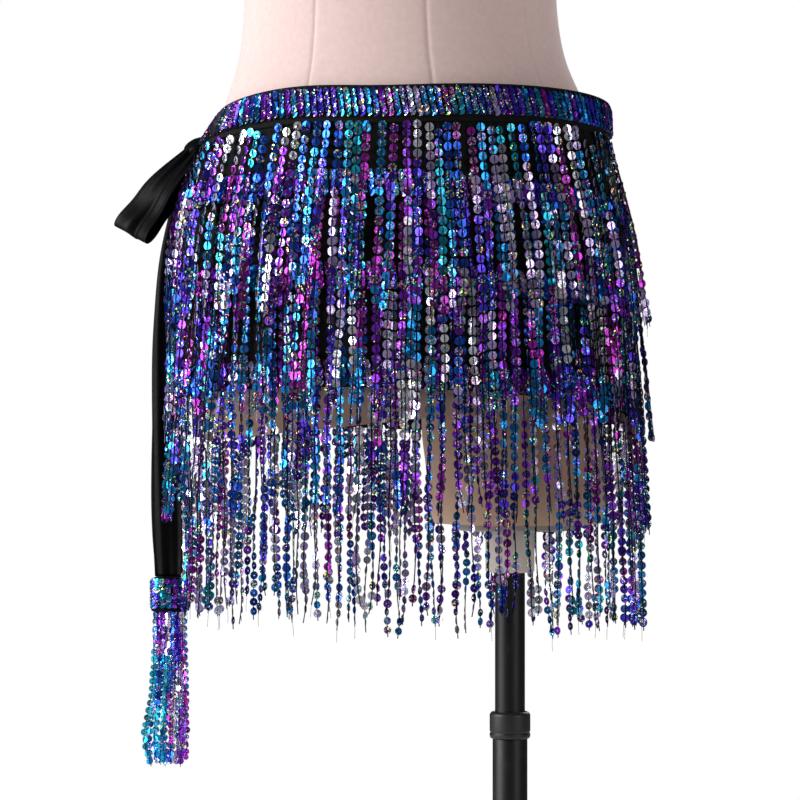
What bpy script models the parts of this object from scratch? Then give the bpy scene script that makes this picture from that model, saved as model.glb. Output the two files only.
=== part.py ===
"""A fringed sequin hip scarf, tied at one side on a limbless dress form with its own stand.

Metres, +Z up, +X to the viewer's right and -Y towards the viewer. The pole's axis is X = Y = 0
and the base plate's underside is Z = 0. Every sewn piece follows one surface, skirt_point(), and
stands off it by a layer of its own, so the cloth, the tapes and the strands never touch. An angle
round the body is an ellipse's parameter: 0 is the viewer's right, -90 degrees is the front.
"""

import math

import bmesh
import bpy
import numpy as np
from mathutils import Vector

SEAM_GAP = 0.0003

# The dress form: its sections from the cut hip up to the neck, each an ellipse
FORM_COLUMNS = ("z", "half_width", "half_depth", "centre_x")
FORM_PROFILE = (
    (0.700, 0.1430, 0.1000, -0.0785),
    (0.725, 0.1560, 0.1080, -0.0785),
    (0.760, 0.1650, 0.1120, -0.0785),
    (0.800, 0.1680, 0.1125, -0.0785),
    (0.840, 0.1655, 0.1100, -0.0785),
    (0.880, 0.1580, 0.1060, -0.0785),
    (0.915, 0.1480, 0.1010, -0.0790),
    (0.945, 0.1365, 0.0955, -0.0800),
    (0.978, 0.1245, 0.0905, -0.0820),
    (1.010, 0.1195, 0.0875, -0.0830),
    (1.040, 0.1185, 0.0870, -0.0834),
    (1.080, 0.1205, 0.0890, -0.0834),
    (1.130, 0.1265, 0.0945, -0.0834),
    (1.190, 0.1360, 0.1040, -0.0834),
    (1.245, 0.1430, 0.1120, -0.0834),
    (1.300, 0.1500, 0.1040, -0.0834),
    (1.345, 0.1600, 0.0900, -0.0834),
    (1.375, 0.1640, 0.0780, -0.0834),
    (1.395, 0.1540, 0.0670, -0.0834),
    (1.412, 0.1240, 0.0590, -0.0834),
    (1.426, 0.0880, 0.0550, -0.0834),
    (1.440, 0.0650, 0.0535, -0.0834),
    (1.460, 0.0560, 0.0530, -0.0834),
    (1.495, 0.0540, 0.0525, -0.0834),
)
FORM_SIDES = 48
FORM_CENTRE_Y = 0.004
HIP_CUT_SLOPE = 0.105
HIP_CUT_X = -0.1285

# The right thigh's short stub, which carries the pole's socket
STUB_COLUMNS = ("z", "half_width", "half_depth", "centre_x")
STUB_PROFILE = (
    (0.6270, 0.0646, 0.0800, 0.0068),
    (0.6320, 0.0660, 0.0815, 0.0064),
    (0.6700, 0.0670, 0.0840, 0.0030),
    (0.7000, 0.0672, 0.0850, 0.0000),
    (0.7300, 0.0620, 0.0820, -0.0030),
    (0.7500, 0.0560, 0.0780, -0.0050),
)
STUB_SIDES = 32

# The surface that the skirt's cloth lies on: the hips, then straight down from the widest place
SKIRT_COLUMNS = ("z", "half_width", "half_depth")
SKIRT_PROFILE = (
    (0.500, 0.1702, 0.1148),
    (0.700, 0.1702, 0.1148),
    (0.760, 0.1700, 0.1144),
    (0.800, 0.1694, 0.1138),
    (0.840, 0.1666, 0.1112),
    (0.870, 0.1615, 0.1082),
    (0.900, 0.1549, 0.1044),
    (0.935, 0.1490, 0.1000),
)
SKIRT_CENTRE = (-0.0785, 0.004)
HIP_HALF_WIDTH = 0.170
HIP_HALF_DEPTH = 0.1145
WAVE_TOP = 0.800
WAVE_FULL = 0.720
WAVE_SIZE = 0.0022
WAVE_COUNT = 7
WAVE_PHASE = 0.9

# Where the wrap opens, under the knot at the viewer's left and a little behind
SLIT_ANGLE = math.radians(162)
SLIT_HALF_ANGLE = 0.06

# Heights at the sides, and how far a level rises to the right and to the back
BAND_TOP = 0.9350
BAND_BOTTOM = 0.9120
BAND_TILT = (0.0070, -0.0150)
TAPE_TILT = (-0.0056, -0.0160)
ROOT_STRIP_HEIGHT = 0.0045
TAPE_HEIGHT = 0.0205
TAPE_TOPS = (0.8724, 0.8042, 0.7330)
CLOTH_TUCK = 0.0040
CLOTH_ROWS = 6
CLOTH_COLUMNS = 64

# Layers, counted outwards from the skirt's surface
CLOTH_THICKNESS = 0.0015
TAPE_IN = 0.0024
TAPE_OUT = 0.0042
STRAND_THICKNESS = 0.0016
BAND_THICKNESS = 0.0020
# how far the waistband's top edge leans in, all round and then more at the front and back
BAND_LEAN = 0.0010
BAND_FRONT_LEAN = 0.0045
# at the left the band is drawn up at the front of the knot, and its top leans in on the form
LEFT_LEAN = 0.0118
LEFT_LEAN_ANGLE = math.radians(187)
LEFT_LEAN_SPREAD = math.radians(35)
LEFT_LEAN_FOOT = 0.8
LEFT_RISE = 0.0072
LEFT_RISE_ANGLE = math.radians(212)
LEFT_RISE_SPREAD = math.radians(42)

# The fringe: strands to a row, their width, and the stagger of every other row
STRANDS = 48
STRAND_WIDTH = 0.0070
ROW_LENGTHS = (0.1355, 0.1540, 0.1570, 0.1575)
# how far each row's strands stand off the skirt's surface, at the heights in strand_levels()
ROW_OFFSETS = (
    (0.0054, 0.0102, 0.0132),
    (0.0054, 0.0114, 0.0142),
    (0.0054, 0.0087, 0.0122),
    (0.0057, 0.0082),
)
END_SPREAD = 0.006
END_SPREAD_STEP = 2.3

# The knot, its loop and the two tie ends
KNOT_RADII = (0.0130, 0.0155, 0.0140)
KNOT_HEIGHT = 0.9130
KNOT_SEAT = 0.0127
KNOT_WRAPS = 7
KNOT_WRAP_SLANT = 2
KNOT_WRAP_DEPTH = 0.07
LOOP_AXIS = Vector((-0.60, -0.10, -0.79)).normalized()
LOOP_ROOT = Vector((-0.0094, -0.0096, -0.0092))
LOOP_ACROSS = Vector((0.70, -0.60, -0.40)).normalized()
LOOP_LENGTH = 0.072
LOOP_HALF_DEPTH = 0.0085
LOOP_ROOT_HALF = 0.0022
LOOP_STEPS = 20
LOOP_WIDTHS = (0.014, 0.031)
LOOP_TAPER = 0.6
LOOP_BOW = 0.0012
TIE_THICKNESS = 0.0015
TIE_FOLD = 0.0018
TIE_FOLDS = (0.0, 1.0, -0.4, 0.8, 0.0)
TIE_COLUMNS = ("z", "centre_x", "half_width", "y", "back_y")
TIE_PROFILE = (
    (0.5815, -0.2654, 0.0090, 0.0740, 0.0905),
    (0.6050, -0.2662, 0.0108, 0.0740, 0.0900),
    (0.7000, -0.2660, 0.0112, 0.0740, 0.0870),
    (0.7800, -0.2640, 0.0110, 0.0735, 0.0835),
    (0.8400, -0.2598, 0.0100, 0.0700, 0.0775),
    (0.8750, -0.2530, 0.0080, 0.0570, 0.0625),
    (0.9010, -0.2464, 0.0056, 0.0410, 0.0441),
)
TIE_LEVELS = 10

# The tassels: a wound head whose underside the strands grow out of
TASSEL_SIDES = 20
TASSEL_TOP = 0.5812
TASSEL_BOTTOM = 0.5546
TASSEL_RADIUS = 0.0130
TASSEL_NECK_SHARE = 0.86
TASSEL_BULGE_SHARE = 1.06
TASSEL_UNEVEN = 0.05
TASSEL_STRANDS_LONG = 0.1215
TASSEL_FLATNESS = 0.55
STRAND_RING = (0.0060, 0.0105)
STRAND_FLARE = 1.28

# The stand: the socket under the stub, the sliding tube, its collar, the outer tube, the base
PLATE_RADIUS = 0.0448
PLATE_BOTTOM = 0.6212
PLATE_TOP = 0.6267
PLATE_X = 0.0046
SOCKET_RADIUS = 0.0186
SOCKET_BORE = 0.0117
SOCKET_BOTTOM = 0.5893
TUBE_SIDES = 32
INNER_TUBE_RADIUS = 0.0114
INNER_TUBE_BOTTOM = 0.2100
COLLAR_RADIUS = 0.0155
COLLAR_BORE = 0.0115
COLLAR_BOTTOM = 0.4630
COLLAR_TOP = 0.4834
COLLAR_CHAMFER = 0.0016
OUTER_TUBE_RADIUS = 0.01325
OUTER_TUBE_BORE = 0.0118
BASE_SIDES = 64
BASE_RADIUS = 0.1900
BASE_EDGE = 0.0090
BASE_CHAMFER = 0.0030
BASE_CROWN = 0.0180
HUB_RADIUS = 0.0240
HUB_TOP = 0.0300
HUB_FILLET = 0.0010
HUB_TAPER = 0.0020
CROWN_SHARE = 2


def clear_scene():
    """Take out whatever the file opened with."""
    for thing in list(bpy.data.objects):
        bpy.data.objects.remove(thing, do_unlink=True)


def linear(hex_colour):
    """An sRGB hex colour as linear red, green, blue and alpha."""
    parts = [int(hex_colour[i : i + 2], 16) / 255 for i in (1, 3, 5)]
    return [c / 12.92 if c <= 0.04045 else ((c + 0.055) / 1.055) ** 2.4 for c in parts] + [1.0]


def material(name, hex_colour, roughness, metallic=0.0):
    """A Principled material of one colour."""
    mat = bpy.data.materials.new(name)
    mat.use_nodes = True
    shader = mat.node_tree.nodes["Principled BSDF"]
    shader.inputs["Base Color"].default_value = linear(hex_colour)
    shader.inputs["Roughness"].default_value = roughness
    shader.inputs["Metallic"].default_value = metallic
    mat.diffuse_color = linear(hex_colour)
    return mat


def finish(bm, name, mat, smooth_angle=40):
    """Turn a bmesh into a named object at the pole's axis, faces outwards."""
    bmesh.ops.recalc_face_normals(bm, faces=bm.faces)
    mesh = bpy.data.meshes.new(name)
    bm.to_mesh(mesh)
    bm.free()
    mesh.shade_smooth()
    mesh.set_sharp_from_angle(angle=math.radians(smooth_angle))
    thing = bpy.data.objects.new(name, mesh)
    mesh.materials.append(mat)
    bpy.context.scene.collection.objects.link(thing)
    return thing


def follow(table, columns, name, z):
    """A smooth curve through one named column of a table, read at height z."""
    rows = np.array(table)
    heights = rows[:, 0]
    values = rows[:, columns.index(name)]
    slopes = np.gradient(values, heights)
    i = int(np.clip(np.searchsorted(heights, z) - 1, 0, len(heights) - 2))
    step = heights[i + 1] - heights[i]
    s = float(np.clip((z - heights[i]) / step, 0.0, 1.0))
    start = (1 + 2 * s) * (1 - s) ** 2 * values[i] + s * (1 - s) ** 2 * step * slopes[i]
    end = s * s * (3 - 2 * s) * values[i + 1] + s * s * (s - 1) * step * slopes[i + 1]
    return start + end


def outward(angle):
    """The level direction that points out of the hips at an angle round them."""
    return Vector((math.cos(angle) / HIP_HALF_WIDTH, math.sin(angle) / HIP_HALF_DEPTH, 0)).normalized()


def skirt_point(angle, z, out):
    """A point that stands off the skirt's surface, with the hem's soft waves in it."""
    half_width = follow(SKIRT_PROFILE, SKIRT_COLUMNS, "half_width", z)
    half_depth = follow(SKIRT_PROFILE, SKIRT_COLUMNS, "half_depth", z)
    hang = min(max((WAVE_TOP - z) / (WAVE_TOP - WAVE_FULL), 0.0), 1.0)
    wave = WAVE_SIZE * hang * math.sin(WAVE_COUNT * angle + WAVE_PHASE)
    x = SKIRT_CENTRE[0] + half_width * math.cos(angle)
    y = SKIRT_CENTRE[1] + half_depth * math.sin(angle)
    return Vector((x, y, z)) + outward(angle) * (out + wave)


def band_point(angle, share, out):
    """A point of the waistband: share 0 is its top edge and 1 its bottom edge."""
    bottom = band_level(BAND_BOTTOM, angle)
    lean = (BAND_LEAN + BAND_FRONT_LEAN * math.sin(angle) ** 2) * (1 - share)
    left = LEFT_LEAN * math.exp(-((apart(angle, LEFT_LEAN_ANGLE) / LEFT_LEAN_SPREAD) ** 2))
    lean += left * max(LEFT_LEAN_FOOT - share, 0) / LEFT_LEAN_FOOT
    point = skirt_point(angle, bottom, TAPE_IN + out - lean)
    point.z += (BAND_TOP - BAND_BOTTOM) * (1 - share)
    return point


def apart(angle, other):
    """How far an angle is from another, the short way round."""
    return (angle - other + math.pi) % (2 * math.pi) - math.pi


def band_level(height, angle):
    """A level of the waistband: tilted, and drawn up at the left in front of the knot."""
    rise = LEFT_RISE * math.exp(-((apart(angle, LEFT_RISE_ANGLE) / LEFT_RISE_SPREAD) ** 4))
    return tilted(height, angle, BAND_TILT) + rise


def tilted(height, angle, tilt):
    """A level's height at an angle: tilt is its rise to the right and its rise to the back."""
    return height + tilt[0] * math.cos(angle) + tilt[1] * math.sin(angle)


def round_the_hips(shares):
    """Angles at the given shares of the way round the hips, from one side of the slit to the other."""
    fine = np.linspace(SLIT_ANGLE + SLIT_HALF_ANGLE, SLIT_ANGLE + 2 * math.pi - SLIT_HALF_ANGLE, 721)
    speed = np.hypot(HIP_HALF_WIDTH * np.sin(fine), HIP_HALF_DEPTH * np.cos(fine))
    steps = 0.5 * (speed[1:] + speed[:-1]) * np.diff(fine)
    run = np.concatenate(([0.0], np.cumsum(steps)))
    return [float(a) for a in np.interp(np.array(shares) * run[-1], run, fine)], float(run[-1])


def ring_wall(bm, angles, rows, point, inner, outer):
    """A wall that runs round the body and stays open at the slit. Returns each segment's bottom face."""
    loops = []
    for angle in angles:
        outside = [bm.verts.new(point(angle, share, outer)) for share in rows]
        inside = [bm.verts.new(point(angle, share, inner)) for share in reversed(rows)]
        loops.append(outside + inside)
    bottoms = []
    count = len(loops[0])
    for here, there in zip(loops, loops[1:]):
        for i in range(count):
            j = (i + 1) % count
            face = bm.faces.new((here[i], here[j], there[j], there[i]))
            if i == len(rows) - 1:
                bottoms.append(face)
    for end in (loops[0], loops[-1]):
        for i in range(len(rows) - 1):
            bm.faces.new((end[i], end[i + 1], end[count - 2 - i], end[count - 1 - i]))
    return bottoms


def stack(bm, rings, cap_ends=True):
    """Skin rings of points that lie over one another, and close both ends with a fan."""
    loops = [[bm.verts.new(p) for p in ring] for ring in rings]
    for low, high in zip(loops, loops[1:]):
        for i in range(len(low)):
            j = (i + 1) % len(low)
            bm.faces.new((low[i], low[j], high[j], high[i]))
    if cap_ends:
        for loop in (loops[0], loops[-1]):
            middle = bm.verts.new(sum((v.co for v in loop), Vector()) / len(loop))
            for i in range(len(loop)):
                bm.faces.new((loop[i], loop[(i + 1) % len(loop)], middle))
    return loops


def turned(name, mat, profile, sides, closed, centre_x=0.0):
    """A body turned about an upright axis from (radius, z) points; closed leaves a bore."""
    bm = bmesh.new()
    rings = []
    for radius, z in profile:
        angles = [2 * math.pi * i / sides for i in range(sides)]
        rings.append([Vector((centre_x + radius * math.cos(a), radius * math.sin(a), z)) for a in angles])
    loops = stack(bm, rings, cap_ends=not closed)
    if closed:
        for i in range(sides):
            j = (i + 1) % sides
            bm.faces.new((loops[-1][i], loops[-1][j], loops[0][j], loops[0][i]))
    return finish(bm, name, mat)


def section(z, table, columns, sides, centre_y):
    """One level ellipse of a body whose sizes a table gives by height."""
    half_width = follow(table, columns, "half_width", z)
    half_depth = follow(table, columns, "half_depth", z)
    centre_x = follow(table, columns, "centre_x", z)
    angles = [2 * math.pi * i / sides for i in range(sides)]
    xs = [centre_x + half_width * math.cos(a) for a in angles]
    ys = [centre_y + half_depth * math.sin(a) for a in angles]
    return [Vector((x, y, z)) for x, y in zip(xs, ys)]


def build_form():
    """The torso and hips with the short thigh stub, one smooth closed body."""
    skin = material("form_linen", "#D8C2B9", 0.85)
    body_bm = bmesh.new()
    heights = [row[0] for row in FORM_PROFILE]
    rings = [section(z, FORM_PROFILE, FORM_COLUMNS, FORM_SIDES, FORM_CENTRE_Y) for z in heights]
    for point in rings[0]:
        point.z += HIP_CUT_SLOPE * (min(point.x, 0.0) - HIP_CUT_X)
    stack(body_bm, rings)
    body = finish(body_bm, "form_body", skin)

    stub_bm = bmesh.new()
    heights = [row[0] for row in STUB_PROFILE]
    stack(stub_bm, [section(z, STUB_PROFILE, STUB_COLUMNS, STUB_SIDES, FORM_CENTRE_Y) for z in heights])
    stub = finish(stub_bm, "form_stub_guide", skin)
    stub.hide_render = True
    stub.display_type = "WIRE"

    joined = body.modifiers.new("join_stub", "BOOLEAN")
    joined.operation = "UNION"
    joined.solver = "EXACT"
    joined.object = stub
    return body


def cloth_point(angle, share, out):
    """A point of the cloth: share 0 is its top edge, tucked in the waistband, and 1 is the hem."""
    top = band_level(BAND_BOTTOM + CLOTH_TUCK, angle)
    hem = tilted(TAPE_TOPS[-1] - TAPE_HEIGHT, angle, TAPE_TILT)
    return skirt_point(angle, top + (hem - top) * share, out)


def build_cloth():
    """The black stretch cloth, wrapped from the waistband down to the hem."""
    bm = bmesh.new()
    angles, _ = round_the_hips(np.linspace(0, 1, CLOTH_COLUMNS + 1))
    rows = list(np.linspace(0, 1, CLOTH_ROWS))
    ring_wall(bm, angles, rows, cloth_point, 0.0, CLOTH_THICKNESS)
    return finish(bm, "scarf_cloth", material("black_knit", "#121216", 0.8))


def build_waistband():
    """The sequinned waistband, tilted up at the front."""
    bm = bmesh.new()
    angles, _ = round_the_hips(np.linspace(0, 1, CLOTH_COLUMNS + 1))
    ring_wall(bm, angles, [0.0, LEFT_LEAN_FOOT, 1.0], band_point, 0.0, BAND_THICKNESS)
    return finish(bm, "scarf_waistband", material("band_sequins", "#4A52A0", 0.3, 0.6))


def tape_edges(row, angle):
    """The top and bottom heights of a row's tape; the first row's is the strip under the waistband."""
    if row == 0:
        top = band_level(BAND_BOTTOM - SEAM_GAP, angle)
        return top, top - ROOT_STRIP_HEIGHT
    top = tilted(TAPE_TOPS[row - 1], angle, TAPE_TILT)
    return top, top - TAPE_HEIGHT


def strand_levels(row, angle):
    """The heights at which a row's strands bend: over each lower tape's top edge, then the end."""
    end = tape_edges(row, angle)[1] - ROW_LENGTHS[row]
    lower_tops = [tape_edges(lower, angle)[0] for lower in range(row + 1, len(ROW_LENGTHS))]
    bends = [z for z in lower_tops if z > end][:2]
    while len(bends) < len(ROW_OFFSETS[row]) - 1:
        bends.append(0.5 * ((bends or [tape_edges(row, angle)[1]])[-1] + end))
    return bends + [end]


def row_columns(row):
    """Angles of a row's tape columns, so that every second segment is as wide as a strand."""
    shift = 0.5 if row % 2 == 0 else 1.0
    count = STRANDS if row % 2 == 0 else STRANDS - 1
    length = round_the_hips([1.0])[1]
    half = 0.5 * STRAND_WIDTH / length
    shares = [0.0]
    for i in range(count):
        centre = (i + shift) / STRANDS
        shares += [centre - half, centre + half]
    return round_the_hips(shares + [1.0])[0]


def hang_strand(bm, face, angles, row, index):
    """Draw one strand out of the tape's bottom face, bend by bend."""
    middle = 0.5 * (angles[0] + angles[1])
    levels = strand_levels(row, middle)
    levels[-1] += END_SPREAD * math.sin(END_SPREAD_STEP * index + row)
    corners = ((angles[0], 1), (angles[0], 0), (angles[1], 0), (angles[1], 1))
    for z, out in zip(levels, ROW_OFFSETS[row]):
        face = bmesh.ops.extrude_discrete_faces(bm, faces=[face])["faces"][0]
        for vert, (angle, outside) in zip(face.verts, corners):
            vert.co = skirt_point(angle, z, out + STRAND_THICKNESS * outside)


def build_fringe_row(row, mat):
    """One row of fringe: its tape, with the strands grown out of every second segment."""
    bm = bmesh.new()
    columns = row_columns(row)

    def point(angle, share, out):
        top, bottom = tape_edges(row, angle)
        return skirt_point(angle, top + (bottom - top) * share, out)

    bottoms = ring_wall(bm, columns, [0.0, 1.0], point, TAPE_IN, TAPE_OUT)
    for i in range(1, len(bottoms), 2):
        hang_strand(bm, bottoms[i], (columns[i], columns[i + 1]), row, i)
    return finish(bm, f"fringe_row_{row + 1}", mat)


def knot_centre():
    """The knot sits on the waistband, over the slit."""
    centre = band_point(SLIT_ANGLE, 0.5, BAND_THICKNESS + KNOT_SEAT)
    return Vector((centre.x, centre.y, KNOT_HEIGHT))


def build_knot(mat):
    """A soft lump of wound cloth with a few shallow wraps."""
    bm = bmesh.new()
    bmesh.ops.create_uvsphere(bm, u_segments=16, v_segments=10, radius=1.0)
    axis = outward(SLIT_ANGLE)
    side = Vector((-axis.y, axis.x, 0))
    for vert in bm.verts:
        turn = KNOT_WRAPS * vert.co.z + KNOT_WRAP_SLANT * vert.co.y
        wrap = 1.0 - KNOT_WRAP_DEPTH * (1 + math.cos(turn))
        local = Vector((vert.co.x * KNOT_RADII[0], vert.co.y * KNOT_RADII[1], vert.co.z * KNOT_RADII[2]))
        local *= wrap
        vert.co = knot_centre() + axis * local.x + side * local.y + Vector((0, 0, local.z))
    return finish(bm, "tie_knot", mat)


def strap(bm, stations):
    """A strap through stations of three edge points and a thickness direction each."""
    loops = []
    for points, normal in stations:
        step = normal * (0.5 * TIE_THICKNESS)
        front = [bm.verts.new(p - step) for p in points]
        back = [bm.verts.new(p + step) for p in reversed(points)]
        loops.append(front + back)
    count = len(loops[0])
    for here, there in zip(loops, loops[1:]):
        for i in range(count):
            j = (i + 1) % count
            bm.faces.new((here[i], here[j], there[j], there[i]))
    for end in (loops[0], loops[-1]):
        half = count // 2
        for i in range(half - 1):
            bm.faces.new((end[i], end[i + 1], end[count - 2 - i], end[count - 1 - i]))


def build_loop(mat):
    """The bow's loop: one strap that goes out from the knot and comes back behind itself."""
    bm = bmesh.new()
    depth_axis = LOOP_ACROSS.cross(LOOP_AXIS).normalized()
    root = knot_centre() + LOOP_ROOT
    stations = []
    for i in range(LOOP_STEPS + 1):
        turn = 2 * math.pi * i / LOOP_STEPS
        share = 0.5 * (1 - math.cos(turn))
        along = LOOP_LENGTH * share
        opening = LOOP_HALF_DEPTH * share**LOOP_TAPER
        deep = -opening * math.sin(turn) - LOOP_ROOT_HALF * math.cos(0.5 * turn)
        speed = 0.5 * LOOP_LENGTH * math.sin(turn)
        swing = -opening * math.cos(turn)
        normal = (depth_axis * speed - LOOP_AXIS * swing).normalized()
        width = LOOP_WIDTHS[0] + (LOOP_WIDTHS[1] - LOOP_WIDTHS[0]) * share
        middle = root + LOOP_AXIS * along + depth_axis * deep
        points = [middle + LOOP_ACROSS * (width * s) for s in (-0.5, 0.0, 0.5)]
        points[1] = points[1] + depth_axis * (LOOP_BOW * math.sin(turn))
        stations.append((points, normal))
    strap(bm, stations)
    return finish(bm, "tie_loop", mat, smooth_angle=60)


def build_tie_end(name, mat, y_column):
    """A tie end that hangs from the knot to its tassel, folded along its length."""
    bm = bmesh.new()
    low = TIE_PROFILE[0][0] + SEAM_GAP
    high = TIE_PROFILE[-1][0]
    stations = []
    for z in np.linspace(low, high, TIE_LEVELS):
        centre = follow(TIE_PROFILE, TIE_COLUMNS, "centre_x", z)
        half = follow(TIE_PROFILE, TIE_COLUMNS, "half_width", z)
        y = follow(TIE_PROFILE, TIE_COLUMNS, y_column, z)
        sides = np.linspace(-1, 1, len(TIE_FOLDS))
        points = [Vector((centre + half * s, y + TIE_FOLD * f, z)) for s, f in zip(sides, TIE_FOLDS)]
        stations.append((points, Vector((0, 1, 0))))
    strap(bm, stations)
    return finish(bm, name, mat, smooth_angle=60)


def build_tassel(name, mat, y_column):
    """A tassel: the wound head, and strands grown out of a ring of faces in its underside."""
    bm = bmesh.new()
    centre_y = TIE_PROFILE[0][TIE_COLUMNS.index(y_column)]
    centre = Vector((TIE_PROFILE[0][1], centre_y, 0))
    turns = [2 * math.pi * i / TASSEL_SIDES for i in range(TASSEL_SIDES)]

    def ring(radius, z):
        offsets = [Vector((radius * math.cos(a), TASSEL_FLATNESS * radius * math.sin(a), z)) for a in turns]
        return [bm.verts.new(centre + offset) for offset in offsets]

    middle_z = 0.5 * (TASSEL_TOP + TASSEL_BOTTOM)
    loops = [
        ring(TASSEL_NECK_SHARE * TASSEL_RADIUS, TASSEL_TOP),
        ring(TASSEL_BULGE_SHARE * TASSEL_RADIUS, middle_z),
        ring(TASSEL_RADIUS, TASSEL_BOTTOM),
        ring(STRAND_RING[1], TASSEL_BOTTOM),
        ring(STRAND_RING[0], TASSEL_BOTTOM),
    ]
    root_faces = []
    for level, (here, there) in enumerate(zip(loops, loops[1:])):
        for i in range(TASSEL_SIDES):
            j = (i + 1) % TASSEL_SIDES
            face = bm.faces.new((here[i], here[j], there[j], there[i]))
            if level == 3 and i % 2 == 0:
                root_faces.append((face, i))
    for loop in (loops[0], loops[-1]):
        middle = bm.verts.new(sum((v.co for v in loop), Vector()) / TASSEL_SIDES)
        for i in range(TASSEL_SIDES):
            bm.faces.new((loop[i], loop[(i + 1) % TASSEL_SIDES], middle))
    for face, i in root_faces:
        hang_tassel_strand(bm, face, centre, i)
    return finish(bm, name, mat)


def hang_tassel_strand(bm, face, centre, index):
    """Draw one strand down from a face of the head, leaning a little outwards."""
    length = TASSEL_STRANDS_LONG * (1 - TASSEL_UNEVEN * math.sin(index) ** 2)
    for share in (0.5, 1.0):
        flare = 1 + (STRAND_FLARE - 1) * share
        z = TASSEL_BOTTOM - length * share
        before = [vert.co.copy() for vert in face.verts]
        face = bmesh.ops.extrude_discrete_faces(bm, faces=[face])["faces"][0]
        start = 1 + (STRAND_FLARE - 1) * (share - 0.5)
        for vert, old in zip(face.verts, before):
            vert.co.x = centre.x + (old.x - centre.x) * flare / start
            vert.co.y = centre.y + (old.y - centre.y) * flare / start
            vert.co.z = z


def build_scarf():
    """Every sewn piece of the scarf."""
    build_cloth()
    build_waistband()
    fringe = material("fringe_sequins", "#3A62A8", 0.3, 0.6)
    for row in range(len(ROW_LENGTHS)):
        build_fringe_row(row, fringe)
    tie = material("tie_satin", "#17171B", 0.55)
    build_knot(tie)
    build_loop(tie)
    build_tie_end("tie_end_front", tie, "y")
    build_tie_end("tie_end_back", tie, "back_y")
    tassel = material("tassel_sequins", "#5A4FA5", 0.3, 0.6)
    build_tassel("tassel_front", tassel, "y")
    build_tassel("tassel_back", tassel, "back_y")


def build_stand():
    """The metal stand: what slides with the form first, then what stays on the floor."""
    grey = material("plate_grey", "#8E8A86", 0.6)
    beige = material("socket_beige", "#B5AAA1", 0.6)
    black = material("pole_black", "#151517", 0.45)
    collar = material("collar_plastic", "#0F0F11", 0.5)
    base = material("base_black", "#17171A", 0.5)
    plate = ((PLATE_RADIUS, PLATE_BOTTOM), (PLATE_RADIUS, PLATE_TOP))
    turned("form_stub_plate", grey, plate, TUBE_SIDES, False, PLATE_X)
    socket_top = PLATE_BOTTOM - SEAM_GAP
    socket = (
        (SOCKET_BORE, SOCKET_BOTTOM),
        (SOCKET_RADIUS, SOCKET_BOTTOM),
        (SOCKET_RADIUS, socket_top),
        (SOCKET_BORE, socket_top),
    )
    turned("pole_socket", beige, socket, TUBE_SIDES, True)
    inner_tube = ((INNER_TUBE_RADIUS, INNER_TUBE_BOTTOM), (INNER_TUBE_RADIUS, socket_top))
    turned("pole_inner_tube", black, inner_tube, TUBE_SIDES, False)
    turned("pole_collar", collar, collar_profile(), TUBE_SIDES, True)
    tube_top = COLLAR_BOTTOM - SEAM_GAP
    tube_bottom = HUB_TOP + SEAM_GAP
    outer_tube = (
        (OUTER_TUBE_BORE, tube_bottom),
        (OUTER_TUBE_RADIUS, tube_bottom),
        (OUTER_TUBE_RADIUS, tube_top),
        (OUTER_TUBE_BORE, tube_top),
    )
    turned("pole_outer_tube", black, outer_tube, TUBE_SIDES, True)
    turned("base_plate", base, base_profile(), BASE_SIDES, False)


def collar_profile():
    """The clamping collar's ring, with its outer edges taken off."""
    inside = COLLAR_RADIUS - COLLAR_CHAMFER
    return (
        (COLLAR_BORE, COLLAR_BOTTOM),
        (inside, COLLAR_BOTTOM),
        (COLLAR_RADIUS, COLLAR_BOTTOM + COLLAR_CHAMFER),
        (COLLAR_RADIUS, COLLAR_TOP - COLLAR_CHAMFER),
        (inside, COLLAR_TOP),
        (COLLAR_BORE, COLLAR_TOP),
    )


def base_profile():
    """The round base: a flat underside, a soft edge, a shallow crown and a hub for the tube."""
    crown_radius = CROWN_SHARE * HUB_RADIUS
    return (
        (BASE_RADIUS, 0.0),
        (BASE_RADIUS, BASE_EDGE - BASE_CHAMFER),
        (BASE_RADIUS - BASE_CHAMFER, BASE_EDGE),
        (crown_radius, BASE_CROWN),
        (HUB_RADIUS, BASE_CROWN + HUB_FILLET),
        (HUB_RADIUS - HUB_TAPER, HUB_TOP),
    )


clear_scene()
build_form()
build_scarf()
build_stand()
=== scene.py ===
"""The looks of a fringed sequin hip scarf, worn on a limbless dress form and its stand.

The sections follow the way it is put together: the stand, the dress form, the scarf's cloth, its
tapes and waistband, the four rows of sequin strands, then the knot, the ties and their tassels.
Metres, +Z up, the viewer at -Y. An angle round the hips is an ellipse's parameter: 0 is the
viewer's right and -90 degrees is the front.
"""

import math

import bmesh
import bpy
import numpy as np
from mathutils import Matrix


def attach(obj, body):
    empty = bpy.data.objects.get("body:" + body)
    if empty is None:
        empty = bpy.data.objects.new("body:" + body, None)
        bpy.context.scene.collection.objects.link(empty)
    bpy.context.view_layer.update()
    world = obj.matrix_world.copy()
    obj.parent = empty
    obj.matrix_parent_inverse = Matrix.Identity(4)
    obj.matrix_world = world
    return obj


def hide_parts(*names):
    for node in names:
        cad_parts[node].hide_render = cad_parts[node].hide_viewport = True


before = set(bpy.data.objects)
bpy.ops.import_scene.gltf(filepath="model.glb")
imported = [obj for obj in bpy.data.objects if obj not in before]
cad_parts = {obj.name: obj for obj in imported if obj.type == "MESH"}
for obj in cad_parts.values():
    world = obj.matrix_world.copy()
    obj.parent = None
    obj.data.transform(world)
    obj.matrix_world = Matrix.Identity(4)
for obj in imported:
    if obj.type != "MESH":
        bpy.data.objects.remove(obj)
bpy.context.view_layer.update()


# The studio: a level camera 2.5 m from the pole, at the photograph's height and angle, a pale
# floor, one broad light high at the viewer's left and weaker ones that fill the other side.
CAMERA_PLACE = (-0.0836, -2.5, 0.72)
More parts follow.
